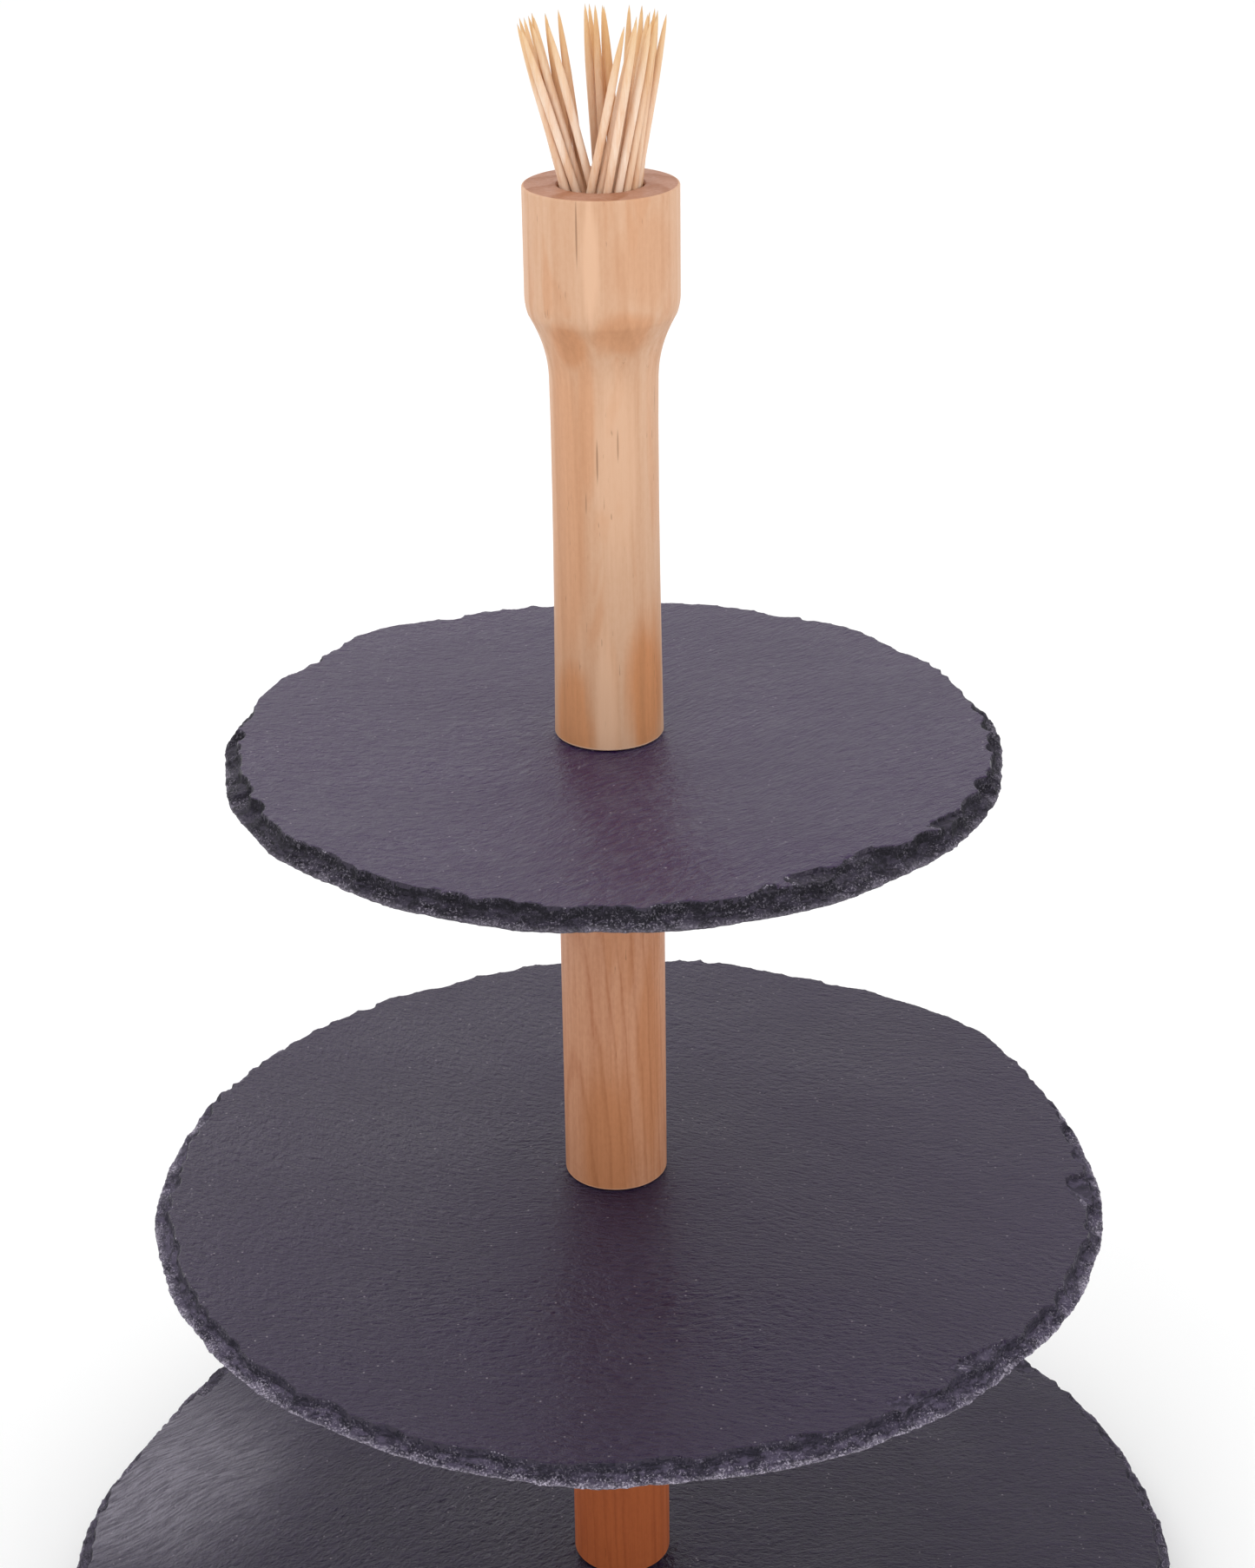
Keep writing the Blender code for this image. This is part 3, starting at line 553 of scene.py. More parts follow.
def wood(name, pale, dark, warm, pith, lean, seed, foot, ring_width, late_from=0.55,
         warm_spots=(), checks=(), pale_spots=(), end_grain=False):
    """Softwood with its growth rings round a distant pith line, cut by the turned surface. lean
    tips the pith line from the piece's axis, which draws arched figures. Rings, streaks and a small
    figure along the grain darken it. Heartwood patches have the warm colour, some of them at given
    spots. The edge at the foot, a height in mm, gets a painted highlight."""
    f = Finish(name, IOR=1.45, Specular_IOR_Level=0.4)
    shift = (seed * 41.0, seed * 23.0, seed * 57.0)

    def drawn_out(ratio, size, detail, roughness=0.5, distortion=0.0):
        return f.noise(f.at(scale=(1.0, 1.0, ratio), shift=shift), size, detail, roughness, distortion)

    warp = drawn_out(0.12, 18.0, 2.0)
    waver = drawn_out(0.25, 4.0, 2.0)
    x, y, z = f.add("SeparateXYZ", {"Vector": f.at()}).outputs
    off_x = f.math("MULTIPLY_ADD", z, lean[0], f.math("SUBTRACT", x, pith[0]))
    off_y = f.math("MULTIPLY_ADD", z, lean[1], f.math("SUBTRACT", y, pith[1]))
    reach = f.math("SQRT", f.math("MULTIPLY_ADD", off_x, off_x, f.math("MULTIPLY", off_y, off_y)))
    reach = f.math("MULTIPLY_ADD", warp, 11.0, f.math("MULTIPLY_ADD", waver, 1.6, reach))
    turn = f.math("FRACT", f.math("DIVIDE", reach, ring_width))
    late = f.math("MULTIPLY", f.span(turn, late_from, 0.88), f.span(turn, 1.0, 0.86))
    streaks = drawn_out(0.03, 1.5, 4.0, 0.62)
    fibres = drawn_out(0.07, 0.26, 3.0, 0.6)
    heart = drawn_out(0.16, 9.0, 3.0, 0.55, 0.8)
    figure = f.span(drawn_out(0.5, 0.9, 2.0), 0.40, 0.62)
    tone = f.math("MULTIPLY_ADD", late, 0.36, f.math("MULTIPLY", f.span(streaks, 0.32, 0.72), 0.36))
    tone = f.math("MULTIPLY_ADD", figure, 0.14, tone)
    colour = f.mix(tone, pale + (1.0,), dark + (1.0,))
    patch = f.span(heart, 0.52, 0.68, 0.0, 0.4)
    if warm_spots:
        patch = f.math("MAXIMUM", patch, f.spots(foot, warm_spots, 0.9, heart))
    colour = f.mix(patch, colour, f.mix(tone, warm + (1.0,), tinted(warm, 0.75)))
    if pale_spots:
        colour = f.mix(f.spots(foot, pale_spots, 0.8, streaks), colour, tinted(pale, 1.12))
    deep = tinted(warm, 0.33)
    flecks = f.math("MULTIPLY", f.span(drawn_out(0.09, 0.55, 2.0), 0.68, 0.74),
                    f.span(heart, 0.50, 0.58))
    colour = f.mix(f.math("MULTIPLY", flecks, 0.5), colour, deep)
    if checks:
        colour = f.mix(f.spots(foot, checks), colour, deep)
    if end_grain:
        pores = f.noise(f.at(), 1.0, 3.0, 0.6)
        rings = f.math("MULTIPLY_ADD", late, 0.6, f.math("MULTIPLY", f.span(pores, 0.3, 0.7), 0.4))
        colour = f.mix(rings, tinted(pale, (0.72, 0.60, 0.62)), tinted(warm, (0.56, 0.50, 0.52)))
    else:
        # Painted highlight along the rounded edge at the foot, where the light catches it.
        foot_edge_highlight = tinted(pale, (1.25, 1.35, 1.45))
        colour = f.mix(f.span(z, foot + 0.75, foot + 0.35, 0.0, 0.8), colour, foot_edge_highlight)
    relief = f.bump(fibres, 0.05, 0.5)
    relief = f.bump(late, 0.04, 0.5, relief)
    return f.done(colour, f.span(streaks, 0.3, 0.7, 0.46, 0.60), relief)


def toothpick_finish(name, number, warm):
    """Pale birch with fine fibres along the stick, golden towards the upper tip. warm shifts it from
    pinkish white to orange."""
    pale = rgb(0.88 - 0.14 * warm, 0.70 - 0.24 * warm, 0.56 - 0.30 * warm)
    dark = rgb(0.76 - 0.14 * warm, 0.47 - 0.16 * warm, 0.29 - 0.15 * warm)
    f = Finish(name, IOR=1.45, Specular_IOR_Level=0.35)
    shift = (number * 11.0, number * 5.0, 0.0)
    fibres = f.noise(f.at(scale=(1.0, 1.0, 0.08), shift=shift), 0.35, 3.0, 0.6)
    shade = f.noise(f.at(scale=(1.0, 1.0, 0.08), shift=shift), 2.5, 2.0, 0.5)
    tone = f.math("MULTIPLY_ADD", f.span(fibres, 0.35, 0.7), 0.4, f.math(
        "MULTIPLY", f.span(shade, 0.35, 0.7), 0.6))
    colour = f.mix(tone, pale, dark)
    height = f.add("SeparateXYZ", {"Vector": f.at()}).outputs["Z"]
    tip = f.span(height, STICKS_TOP - GOLDEN_TIP, STICKS_TOP, 0.0, 0.65)
    colour = f.mix(tip, colour, rgb(0.74, 0.47, 0.20))
    return f.done(colour, f.span(fibres, 0.3, 0.7, 0.5, 0.68), f.bump(fibres, 0.04, 0.5))


def metal(name, colour):
    """Turned metal with faint circular marks and uneven polish."""
    f = Finish(name, Metallic=1.0)
    marks = f.noise(f.at(scale=(1.0, 1.0, 6.0)), 0.5, 3.0, 0.6)
    clouds = f.noise(f.at(), 4.0, 2.0)
    shade = f.mix(f.span(clouds, 0.35, 0.7), colour, tinted(colour[:3], 0.8))
    rough = f.span(marks, 0.3, 0.7, 0.24, 0.42)
    return f.done(shade, rough, f.bump(marks, 0.02, 0.4))


def rubber_finish(name):
    """Matt black rubber with a fine moulded texture and a little dust."""
    f = Finish(name, IOR=1.5)
    texture = f.noise(f.at(), 0.35, 3.0, 0.6)
    dust = f.span(f.noise(f.at(), 5.0, 3.0, 0.6), 0.5, 0.75)
    colour = f.mix(dust, rgb(0.016, 0.016, 0.017), rgb(0.045, 0.043, 0.042))
    return f.done(colour, f.span(texture, 0.3, 0.7, 0.7, 0.9), f.bump(texture, 0.06, 0.6))


# Slates

def cad_loop(node, height):
    """Azimuths and radii of the outermost CAD corners of a node at a height in mm."""
    corners = np.array([v.co for v in frame["nodes"][node].data.vertices]) / MM
    level = corners[np.abs(corners[:, 2] - height) < 0.05]
    radius = np.hypot(level[:, 0], level[:, 1])
    level, radius = level[radius > 2 * HOLE_RADIUS], radius[radius > 2 * HOLE_RADIUS]
    azimuth = np.arctan2(level[:, 1], level[:, 0])
    order = np.argsort(azimuth)
    return azimuth[order], radius[order]


def chip_floor(arc, inward, reach, round_length, seed):
    """Share of the rim's height, 0 at the lip and 1 at the face, left by overlapping chips.
    arc and inward are a vertex's place along the rim and its distance in from the lip, in mm."""
    rng = random.Random(seed)
    left = np.clip(inward / (BEVEL_REACH * reach), 0.0, 1.0) ** BEVEL_BEND
    place = 0.0
    while place < round_length:
        half_width = rng.uniform(*CHIP_HALF_WIDTH)
        depth = rng.uniform(*CHIP_REACH) * min(1.0, 0.6 + half_width / 9.0)
        bend = rng.uniform(*CHIP_BEND)
        knee = rng.uniform(*CHIP_KNEE)
        skew = rng.uniform(-CHIP_SKEW, CHIP_SKEW)
        off = (arc - place + round_length / 2) % round_length - round_length / 2
        near = np.abs(off) < half_width * 1.3
        bite = depth * reach[near]
        radius = (half_width ** 2 + bite ** 2) / (2 * bite)
        centre = radius - bite
        away = np.hypot(off[near] + skew * inward[near], inward[near] + centre)
        share = np.clip((away - centre) / np.maximum(bite, 0.1), 0.0, 1.0)
        step = smooth((share - CHIP_STEP_FROM) / (1.0 - CHIP_STEP_FROM))
        cut = knee * share ** bend + (1.0 - knee) * step
        left[near] = np.minimum(left[near], cut)
        place += rng.uniform(*CHIP_SPACING)
    return left


def flake_depth(plan, flakes):
    """How deep the flakes lie under the face at points of the plan, in mm. A flake's step starts
    at nothing at its tip and deepens along its line."""
    depth = np.zeros(len(plan))
    for azimuth, radius, end_azimuth, end_radius, deep, bow in flakes:
        tip = radius * np.array((math.cos(math.radians(azimuth)), math.sin(math.radians(azimuth))))
        end = end_radius * np.array((math.cos(math.radians(end_azimuth)),
                                     math.sin(math.radians(end_azimuth))))
        length = float(np.linalg.norm(end - tip))
        way = (end - tip) / length
        outward = np.array((way[1], -way[0]))
        if outward @ (tip + end) < 0.0:
            outward = -outward
        offset = plan[:, :2] - tip
        along = offset @ way
        share = np.clip(along / length, 0.0, 1.0)
        side = offset @ outward + bow * np.sin(math.pi * share) + 0.3 * np.sin(along * 1.9 + azimuth)
        near = smooth(along / (0.3 * length)) * smooth((length * 1.7 - along) / (length * 0.6))
        floor = deep * smooth(side / 0.45) * (1.0 - 0.35 * smooth(side / 9.0))
        depth = np.maximum(depth, near * floor)
    return depth


def layered(height, thickness, seed, waviness):
    """Break a slope of heights into ledges, as slate breaks along its layers."""
    rng = random.Random(seed + 1)
    levels = [0.0]
    while levels[-1] < thickness:
        levels.append(levels[-1] + rng.uniform(*LAYER))
    levels = np.array(levels)
    shifted = np.clip(height + waviness, 0.0, levels[-1] - 1e-6)
    index = np.searchsorted(levels, shifted, side="right") - 1
    low, high = levels[index], levels[index + 1]
    share = (shifted - low) / (high - low)
    stepped = low + (high - low) * smooth((share - 0.5) * 3.2 + 0.5)
    return np.clip(stepped - waviness, 0.0, thickness)


def slate_rim(node, steps, seed, flakes, underside, top):
    """Loops of the chipped upper rim from the lip inwards, with how deep each point is broken."""
    angle = np.arange(steps) * TAU / steps
    lip = np.interp(angle, *cad_loop(node, underside + LIP_HEIGHT), period=TAU)
    face = np.interp(angle, *cad_loop(node, top), period=TAU)
    reach = lip - face
    mean_radius = float(lip.mean())
    round_length = mean_radius * TAU
    circle = np.column_stack((np.cos(angle), np.sin(angle), 0 * angle)) * mean_radius
    ragged = noise_sum(circle, seed, LIP_WANDER)
    lip_rise = noise_sum(circle, seed, LIP_RISE)
    thickness = top - underside
    rim_height = thickness - LIP_HEIGHT
    loops = []
    broken = []
    for k in range(RIM_RINGS):
        inward = np.full(steps, k * RIM_STEP)
        arc = angle * mean_radius
        left = chip_floor(arc, inward, reach, round_length, seed)
        radius = lip - inward + ragged * math.exp(-k / RAGGED_RINGS)
        plan = ring_of(radius, 0.0, steps)
        height = LIP_HEIGHT + lip_rise * (1.0 - left) + rim_height * left
        flaked = thickness - flake_depth(plan, flakes)
        height = np.minimum(height, flaked)
        wavy = LAYER_WAVES * fractal(plan, 11.0, seed + 3, 2)
        cut = smooth((thickness - height) / 0.25)
        stepped = layered(height, thickness, seed, wavy)
        height = height + (stepped - height) * LEDGES * cut
        height += 0.05 * cut * fractal(plan, 1.3, seed + 4, 2)
        plan[:, 2] = underside + np.minimum(height, thickness + 0.02)
        loops.append(plan)
        broken.append(thickness - height > BROKEN_DEPTH)
    return loops, broken


def face_relief(points, seed, grain, edge):
    """Low waves of a riven face, drawn out along its grain, flat near the stem and the rim."""
    turn = math.radians(grain)
    along = points[:, 0] * math.cos(turn) + points[:, 1] * math.sin(turn)
    across = points[:, 1] * math.cos(turn) - points[:, 0] * math.sin(turn)
    place = np.column_stack((along * FACE_STRETCH, across, 0 * along))
    waves = noise_sum(place, seed, FACE_WAVES)
    radius = np.hypot(points[:, 0], points[:, 1])
    return waves * smooth((radius - STEM_CLEAR) / FACE_FADE) * edge


def slate_interior(rim_loop, height, seed, grain, side):
    """Loops from the rim in to the stud's hole, with fewer points towards the middle."""
    loops = []
    outer = np.hypot(rim_loop[:, 0], rim_loop[:, 1])
    angle = np.arctan2(rim_loop[:, 1], rim_loop[:, 0])
    inward = 0.4
    span = float(outer.mean()) - HOLE_RADIUS
    thins = (MESH_THINS[0], span * MESH_THINS[1], span * MESH_THINS[2])
    while inward < span:
        stride = 2 ** sum(inward > limit for limit in thins)
        share = inward / span
        radius = outer[::stride] * (1 - share) + HOLE_RADIUS * share
        loop = np.column_stack((radius * np.cos(angle[::stride]), radius * np.sin(angle[::stride]),
                                np.full(len(radius), height)))
        loop[:, 2] += side * face_relief(loop, seed, grain, min(1.0, inward / 6.0))
        loops.append(loop)
        inward += min(INNER_STEP[0] + inward * INNER_STEP[1], INNER_STEP[2])
    loops.append(ring_of(HOLE_RADIUS, height, len(loops[-1])))
    return loops


def make_slate(node, materials):
    """Riven plate with a chipped rim, its underside undercut at the lip, and the stud's hole."""
    plate = PLATES[node]
    steps, seed, direction = plate["steps"], plate["seed"], plate["grain"][0]
    low, high = node_box(node)
    underside, top = low.z, high.z
    rim, broken = slate_rim(node, steps, seed, plate["flakes"], underside, top)
    upper = slate_interior(rim[-1], top, seed, direction, 1.0)
    circle = rim[0]
    under = []
    under_broken = []
    for share in UNDERCUT:
        wander = 0.8 * np.abs(fractal(circle, 7.0, seed + 9, 2))
        inward = (1.0 - share) * (UNDERCUT_WIDTH + wander)
        radius = np.hypot(circle[:, 0], circle[:, 1]) - inward
        rise = (circle[:, 2] - underside) * share + 0.10 * fractal(circle, 1.5, seed + 10, 2) * share
        under.append(ring_of(radius, underside + np.maximum(rise, 0.0), steps))
        under_broken.append(np.full(steps, True))
    lower = slate_interior(under[-1], underside, seed + 20, direction + 15.0, -0.5)
    loops = lower[::-1] + under[::-1] + rim + upper
    flags = [np.full(len(loop), False) for loop in lower] + under_broken + broken
    flags += [np.full(len(loop), False) for loop in upper]
    points, faces, owners = loft(loops, closed=True)
    flag = np.concatenate(flags)
    chosen = [1 if sum(flag[i] for i in face) * 2 > len(face) else 0 for face in faces]
    obj = make_piece(node + "_riven", points, faces, materials, 55.0, chosen)
    stand_for(obj, node)


# Stem

def base_pocket(low_z):
    """Profile of the washer pocket and the insert's bore under a length of the stem."""
    bore_top = low_z + WASHER_POCKET_DEPTH + INSERT_BORE_DEPTH
    return [(0.0, bore_top + 1.5), (INSERT_BORE_RADIUS * 0.5, bore_top + 0.5),
            (INSERT_BORE_RADIUS, bore_top), (INSERT_BORE_RADIUS, low_z + WASHER_POCKET_DEPTH),
            (WASHER_POCKET_RADIUS, low_z + WASHER_POCKET_DEPTH), (WASHER_POCKET_RADIUS, low_z)]


def base_edge(radius, low_z):
    """Rounded lower edge of a length of the stem, from its flat end to its side."""
    return rounded(radius, low_z, 1, -1, WOOD_EDGE)[::-1]


def make_column(node, materials):
    low, high = node_box(node)
    radius = (high.x - low.x) / 2
    profile = base_pocket(low.z) + base_edge(radius, low.z)
    end_faces = {3, 4, 5}
    for i in range(1, 8):
        profile.append((radius, low.z + (high.z - low.z) * i / 8))
    profile += rounded(radius, high.z, 1, 1, WOOD_EDGE)
    end_faces.update(range(len(profile) - 1, len(profile) + 3))
    profile += [(WASHER_POCKET_RADIUS, high.z), (WASHER_POCKET_RADIUS, high.z - WASHER_POCKET_DEPTH),
                (STUD_BORE_RADIUS, high.z - WASHER_POCKET_DEPTH),
                (STUD_BORE_RADIUS, high.z - WASHER_POCKET_DEPTH - STUD_BORE_DEPTH),
                (0.0, high.z - WASHER_POCKET_DEPTH - STUD_BORE_DEPTH - 0.6)]
    obj = turned(node + "_turned", profile, materials, ends=end_faces)
    stand_for(obj, node)


def flare(steps):
    """The curve from the handle's shaft out to its cup, above the handle's base."""
    points = []
    for i in range(steps + 1):
        t = i / steps
        weights = ((1 - t) ** 3, 3 * t * (1 - t) ** 2, 3 * t * t * (1 - t), t ** 3)
        points.append(tuple(sum(w * p for w, p in zip(weights, row)) for row in FLARE))
    return points


def make_handle(node, materials):
    low, high = node_box(node)
    cup = (high.x - low.x) / 2
    profile = base_pocket(low.z) + base_edge(HANDLE_BASE_RADIUS, low.z)
    end_faces = {3, 4, 5}
    taper = HANDLE_BASE_RADIUS - HANDLE_WAIST_RADIUS
    for height in range(SHAFT_STEP, int(HANDLE_WAIST_HEIGHT) + 22, SHAFT_STEP):
        below = max(0.0, HANDLE_WAIST_HEIGHT - height) / HANDLE_WAIST_HEIGHT
        profile.append((HANDLE_WAIST_RADIUS + taper * below ** SHAFT_BEND, low.z + height))
    profile += [(r, low.z + h) for r, h in flare(24)]
    crease_radius, crease = FLARE[0][-1], FLARE[1][-1]
    for i in range(1, 8):
        t = i / 7
        profile.append((cup - (cup - crease_radius) * (1 - t) ** 2,
                        low.z + crease + CUP_ROUNDING * t))
    profile.append((cup, low.z + crease + 16.0))
    profile += rounded(cup, high.z, 1, 1, WOOD_EDGE)
    end_faces.update(range(len(profile) - 1, len(profile) + 1))
    chamfer = 0.4
    floor = high.z - CUP_BORE_DEPTH
    profile += [(CUP_BORE_RADIUS + chamfer, high.z), (CUP_BORE_RADIUS, high.z - chamfer),
                (CUP_BORE_RADIUS, floor + 0.2), (CUP_BORE_RADIUS - 0.2, floor), (0.0, floor)]
    end_faces.update((len(profile) - 2, len(profile) - 3))
    obj = turned(node + "_turned", profile, materials, ends=end_faces)
    stand_for(obj, node)


def make_toothpick(node, material):
    """Round toothpick on its CAD node's axis, with slightly convex points."""
    corners = np.array([v.co for v in frame["nodes"][node].data.vertices]) / MM
    low = corners[np.argmin(corners[:, 2])]
    high = corners[np.argmax(corners[:, 2])]
    length = float(np.linalg.norm(high - low))
    profile = [(0.0, 0.0)]
    for i in range(1, 9):
        t = i / 8
        radius = TOOTHPICK_RADIUS * (0.05 + 0.95 * t ** 0.75 * (1.45 - 0.45 * t))
        profile.append((radius, TOOTHPICK_POINT * t))
    profile += [(r, length - z) for r, z in reversed(profile)]
    rings = [ring_of(r, z, 16 if r > 0.0 else 1) for r, z in profile]
    points, faces, _ = loft(rings)
    turn = Vector(high - low).to_track_quat("Z", "Y").to_matrix()
    points = points @ np.array(turn).T + low
    obj = make_piece(node + "_fine", points, faces, [material], 60.0)
    stand_for(obj, node)


# Fittings

def thread_rings(radius, low_z, high_z, inner=False):
    """Loops of a right-handed M8 thread, run out at both ends."""
    count = int((high_z - low_z) / THREAD_PITCH * THREAD_RINGS)
    angle = np.arange(THREAD_STEPS) / THREAD_STEPS
    rings = []
    for i in range(count + 1):
        height = low_z + (high_z - low_z) * i / count
        turn = height / THREAD_PITCH - angle
        crest = np.abs((turn % 1.0) * 2.0 - 1.0)
        groove = np.clip((crest - THREAD_CREST) / THREAD_FLANKS, 0.0, 1.0)
        end = min(height - low_z, high_z - height)
        fade = min(1.0, end / THREAD_RUN_OUT)
        depth = THREAD_DEPTH * groove
        if inner:
            loop = radius + depth * fade
        else:
            loop = np.minimum(radius - depth, radius - 0.8 * (1.0 - fade))
        rings.append(ring_of(loop, height, THREAD_STEPS))
    return rings


def make_stud(node, material):
    low, high = node_box(node)
    rings = [ring_of(0.0, low.z, 1)] + thread_rings(SHANK_RADIUS, low.z, high.z)
    rings.append(ring_of(0.0, high.z, 1))
    points, faces, _ = loft(rings)
    obj = make_piece(node + "_threaded", points, faces, [material], 40.0)
    stand_for(obj, node)


def make_insert(node, material):
    """Brass insert with a threaded bore, two knurled bands and chamfered ends."""
    low, high = node_box(node)
    radius = (high.x - low.x) / 2
    inner = thread_rings(SHANK_RADIUS + INSERT_CLEARANCE, low.z, high.z, inner=True)
    tooth = np.arange(THREAD_STEPS) % 2
    outer = []
    for share in np.linspace(0.0, 1.0, 16):
        height = low.z + (high.z - low.z) * share
        from_end = min(share, 1 - share)
        band = 0.0 if from_end < 0.08 or 0.45 < share < 0.55 else 1.0
        knurl = radius - KNURL_DEPTH * band * tooth - INSERT_CHAMFER * (from_end < 0.02)
        outer.append(ring_of(knurl, height, THREAD_STEPS))
    points, faces, _ = loft(inner[::-1] + outer, closed=True)
    obj = make_piece(node + "_knurled", points, faces, [material], 35.0)
    stand_for(obj, node)


def make_washer(node, material):
    low, high = node_box(node)
    radius = (high.x - low.x) / 2
    hole = SHANK_RADIUS + 0.4
    profile = [(hole, low.z + WASHER_EDGE), (hole + WASHER_EDGE, low.z)]
    profile += rounded(radius, low.z, 1, -1, WASHER_EDGE, 3)[::-1]
    profile += rounded(radius, high.z, 1, 1, WASHER_EDGE, 3)
    profile += [(hole + WASHER_EDGE, high.z), (hole, high.z - WASHER_EDGE)]
    obj = turned(node + "_fine", profile, [material], steps=64, sharp=35.0, closed=True)
    stand_for(obj, node)


def make_foot(node, material):
    """Rubber bumper with a rounded tread edge and a shallow dish in its tread."""
    low, high = node_box(node)
    centre = (low + high) / 2
    top_radius = (high.x - low.x) / 2
    bottom_radius = top_radius - FOOT_TAPER
    height = high.z - low.z
    profile = [(0.0, DISH_DEPTH), (4.6, DISH_DEPTH), (5.4, 0.0)]
    profile += rounded(bottom_radius, 0.0, 1, -1, TREAD_EDGE)[::-1]
    profile += [(bottom_radius + (top_radius - bottom_radius) * t, TREAD_EDGE + (height - 1.2) * t)
                for t in (0.3, 0.6, 0.95)]
    profile += [(top_radius, height - 0.2), (top_radius - 0.3, height), (0.0, height)]
    obj = turned(node + "_moulded", profile, [material], (centre.x, centre.y, low.z), 72, 30.0)
    stand_for(obj, node)


def make_base_screw(node, material):
    """Button-head screw with a hexagon socket, its head down and its thread up."""
    low, high = node_box(node)
    head_radius = (high.x - low.x) / 2
    seat = low.z + SCREW_HEAD_HEIGHT
    steps = 48
    corner = np.arange(steps) * TAU / steps
    hexagon = SOCKET_HALF_WIDTH / np.cos((corner + math.pi / 6) % (math.pi / 3) - math.pi / 6)
    rings = [ring_of(0.0, low.z + SOCKET_DEPTH, 1),
             ring_of(hexagon * 0.98, low.z + SOCKET_DEPTH - 0.3, steps),
             ring_of(hexagon, low.z + 0.2, steps), ring_of(hexagon + 0.25, low.z, steps)]
    dome_height = 2.9
    for i in range(9):
        turn = i / 8 * math.pi / 2
        radius = SCREW_HEAD_FLAT + (head_radius - SCREW_HEAD_FLAT) * math.sin(turn)
        rings.append(ring_of(radius, low.z + dome_height * (1 - math.cos(turn)), steps))
    rings += [ring_of(head_radius, seat - 0.2, steps), ring_of(head_radius - 0.2, seat, steps),
              ring_of(SHANK_RADIUS, seat, steps)]
    thread = thread_rings(SHANK_RADIUS, seat + 0.1, high.z)
    points, faces, _ = loft(rings + [ring_of(0.0, seat, 1)])
    more, more_faces, _ = loft([ring_of(0.0, seat, 1)] + thread + [ring_of(0.0, high.z, 1)])
    faces += [tuple(i + len(points) for i in face) for face in more_faces]
    obj = make_piece(node + "_threaded", np.vstack((points, more)), faces, [material], 35.0)
    stand_for(obj, node)


# Camera, floor and light

def add_camera():
    data = bpy.data.cameras.new("camera")
    data.lens = CAMERA_LENS
    data.sensor_width = 36.0
    camera = bpy.data.objects.new("camera", data)
    turn = Matrix.Rotation(math.radians(90.0 - CAMERA_PITCH), 4, "X")
    roll = Matrix.Rotation(math.radians(CAMERA_ROLL), 4, "Z")
    camera.matrix_world = Matrix.Translation(Vector(CAMERA_PLACE) * MM) @ turn @ roll
    bpy.context.scene.collection.objects.link(camera)
    bpy.context.scene.camera = camera


def add_floor():
    """A wide white disc, faintly mottled, so that it reads as a plain matt surface."""
    rings = [ring_of(r, 0.0, 96) for r in (12000.0, 3000.0, 800.0, 200.0)]
    points, faces, _ = loft(rings + [ring_of(0.0, 0.0, 1)])
    f = Finish("floor_white")
    mottle = f.noise(f.at(), 300.0, 2.0)
    f.done(f.mix(mottle, rgb(0.95, 0.95, 0.95), rgb(0.97, 0.97, 0.97)), 0.9)
    floor = make_piece("floor", points, faces, [f.material])


def add_area(name, place, aim, size, power):
    data = bpy.data.lights.new(name, "AREA")
    data.shape = "RECTANGLE"
    data.size, data.size_y = size
    data.energy = power
    light = bpy.data.objects.new(name, data)
    light.location = place
    light.rotation_euler = (Vector(aim) - Vector(place)).to_track_quat("-Z", "Y").to_euler()
    bpy.context.scene.collection.objects.link(light)


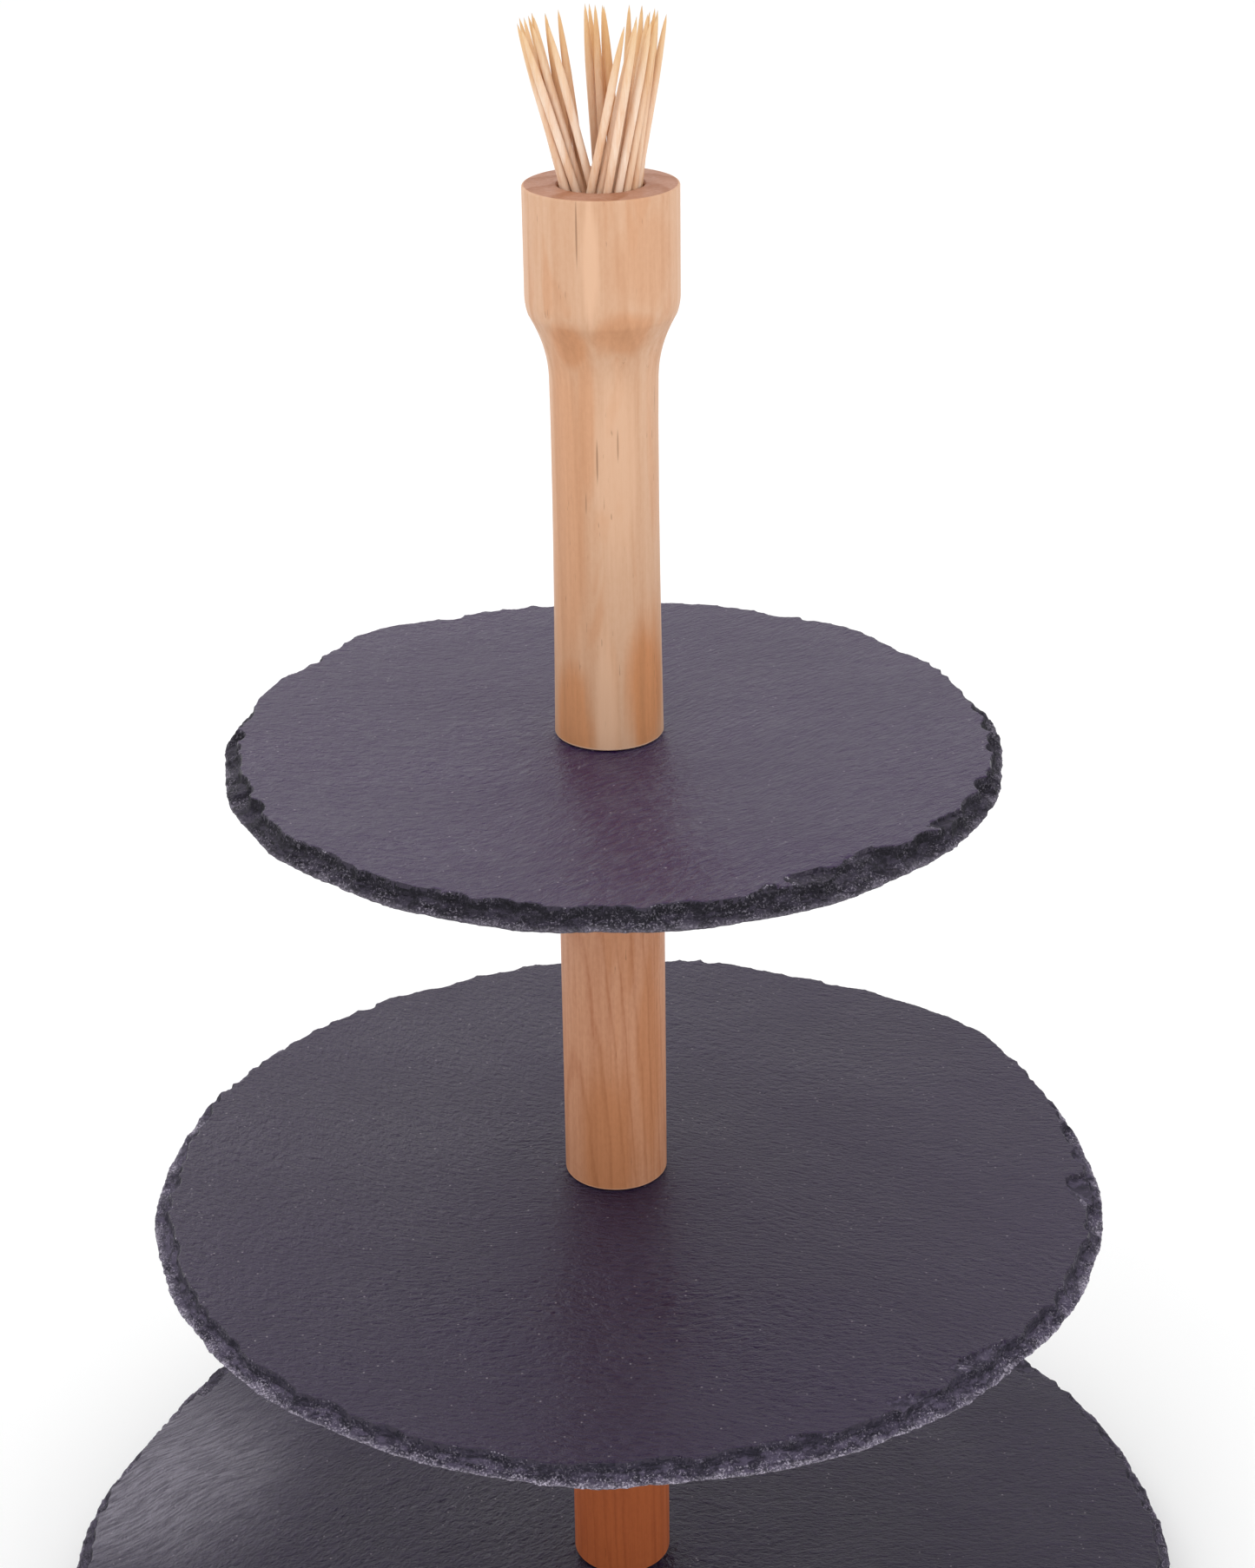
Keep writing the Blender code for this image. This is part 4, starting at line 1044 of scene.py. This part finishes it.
def add_light():
    """A white studio: walls all round, a ceiling a little brighter, and soft boxes."""
    world = bpy.data.worlds.new("studio")
    world.use_nodes = True
    tree = world.node_tree
    background = tree.nodes["Background"]
    background.inputs["Color"].default_value = rgb(1.0, 1.0, 1.0)
    direction = tree.nodes.new("ShaderNodeTexCoord").outputs["Generated"]
    split = tree.nodes.new("ShaderNodeSeparateXYZ")
    tree.links.new(direction, split.inputs[0])
    fall = tree.nodes.new("ShaderNodeMapRange")
    for socket, value in zip(fall.inputs[1:5], (0.30, 0.75, WALL_LIGHT, CEILING_LIGHT)):
        socket.default_value = value
    tree.links.new(split.outputs["Z"], fall.inputs[0])
    tree.links.new(fall.outputs[0], background.inputs["Strength"])
    bpy.context.scene.world = world
    for soft_box in SOFT_BOXES:
        add_area(*soft_box)
    bpy.context.scene.view_settings.view_transform = "Standard"


def build():
    add_camera()
    add_floor()
    add_light()
    for node, plate in PLATES.items():
        low, high = node_box(node)
        face = slate_face(node + "_face", plate["grain"], plate["seed"], plate["face"], PAINTED_SHEENS.get(node))
        rim = slate_break(node + "_break", plate["seed"], plate["rim"], plate["dust"], low.z, high.z)
        make_slate(node, [face, rim])
    for node, look in WOODS.items():
        side = wood(node + "_side", foot=FOOT_OF[node], **look)
        end = wood(node + "_end", foot=FOOT_OF[node], end_grain=True, **look)
        make_stem = make_handle if node == "handle" else make_column
        make_stem(node, [side, end])
    last = STICK_SHADES - 1
    shades = [toothpick_finish("toothpick_wood_%d" % (i + 1), i, i / last)
              for i in range(STICK_SHADES)]
    sticks = sorted(name for name in frame["nodes"] if name.startswith("toothpick"))
    rng = random.Random(4)
    for node in sticks:
        low, high = node_box(node)
        # Back sticks get painted shade, darker and more orange; front ones get painted light, paler.
        backward = (low.y + high.y) / 2 / CUP_BORE_RADIUS
        warm = STICK_WARMTH + PAINTED_SHADE_BEHIND * backward + rng.uniform(-WARMTH_SPREAD, WARMTH_SPREAD)
        make_toothpick(node, shades[min(last, max(0, round(warm * last)))])
    steel = metal("zinc_steel", rgb(0.56, 0.56, 0.57))
    brass = metal("brass_insert", rgb(0.68, 0.47, 0.18))
    rubber = rubber_finish("black_rubber")
    for node in ("lower_column_stud", "upper_column_stud"):
        make_stud(node, steel)
    for node in ("lower_column_insert", "upper_column_insert", "handle_insert"):
        make_insert(node, brass)
    for node in ("lower_column_washer", "lower_column_top_washer", "upper_column_washer",
                 "upper_column_top_washer", "handle_washer", "base_rubber_washer"):
        make_washer(node, rubber)
    make_washer("base_steel_washer", steel)
    make_base_screw("base_screw", steel)
    for i in range(4):
        make_foot("foot_%d" % (i + 1), rubber)


build()
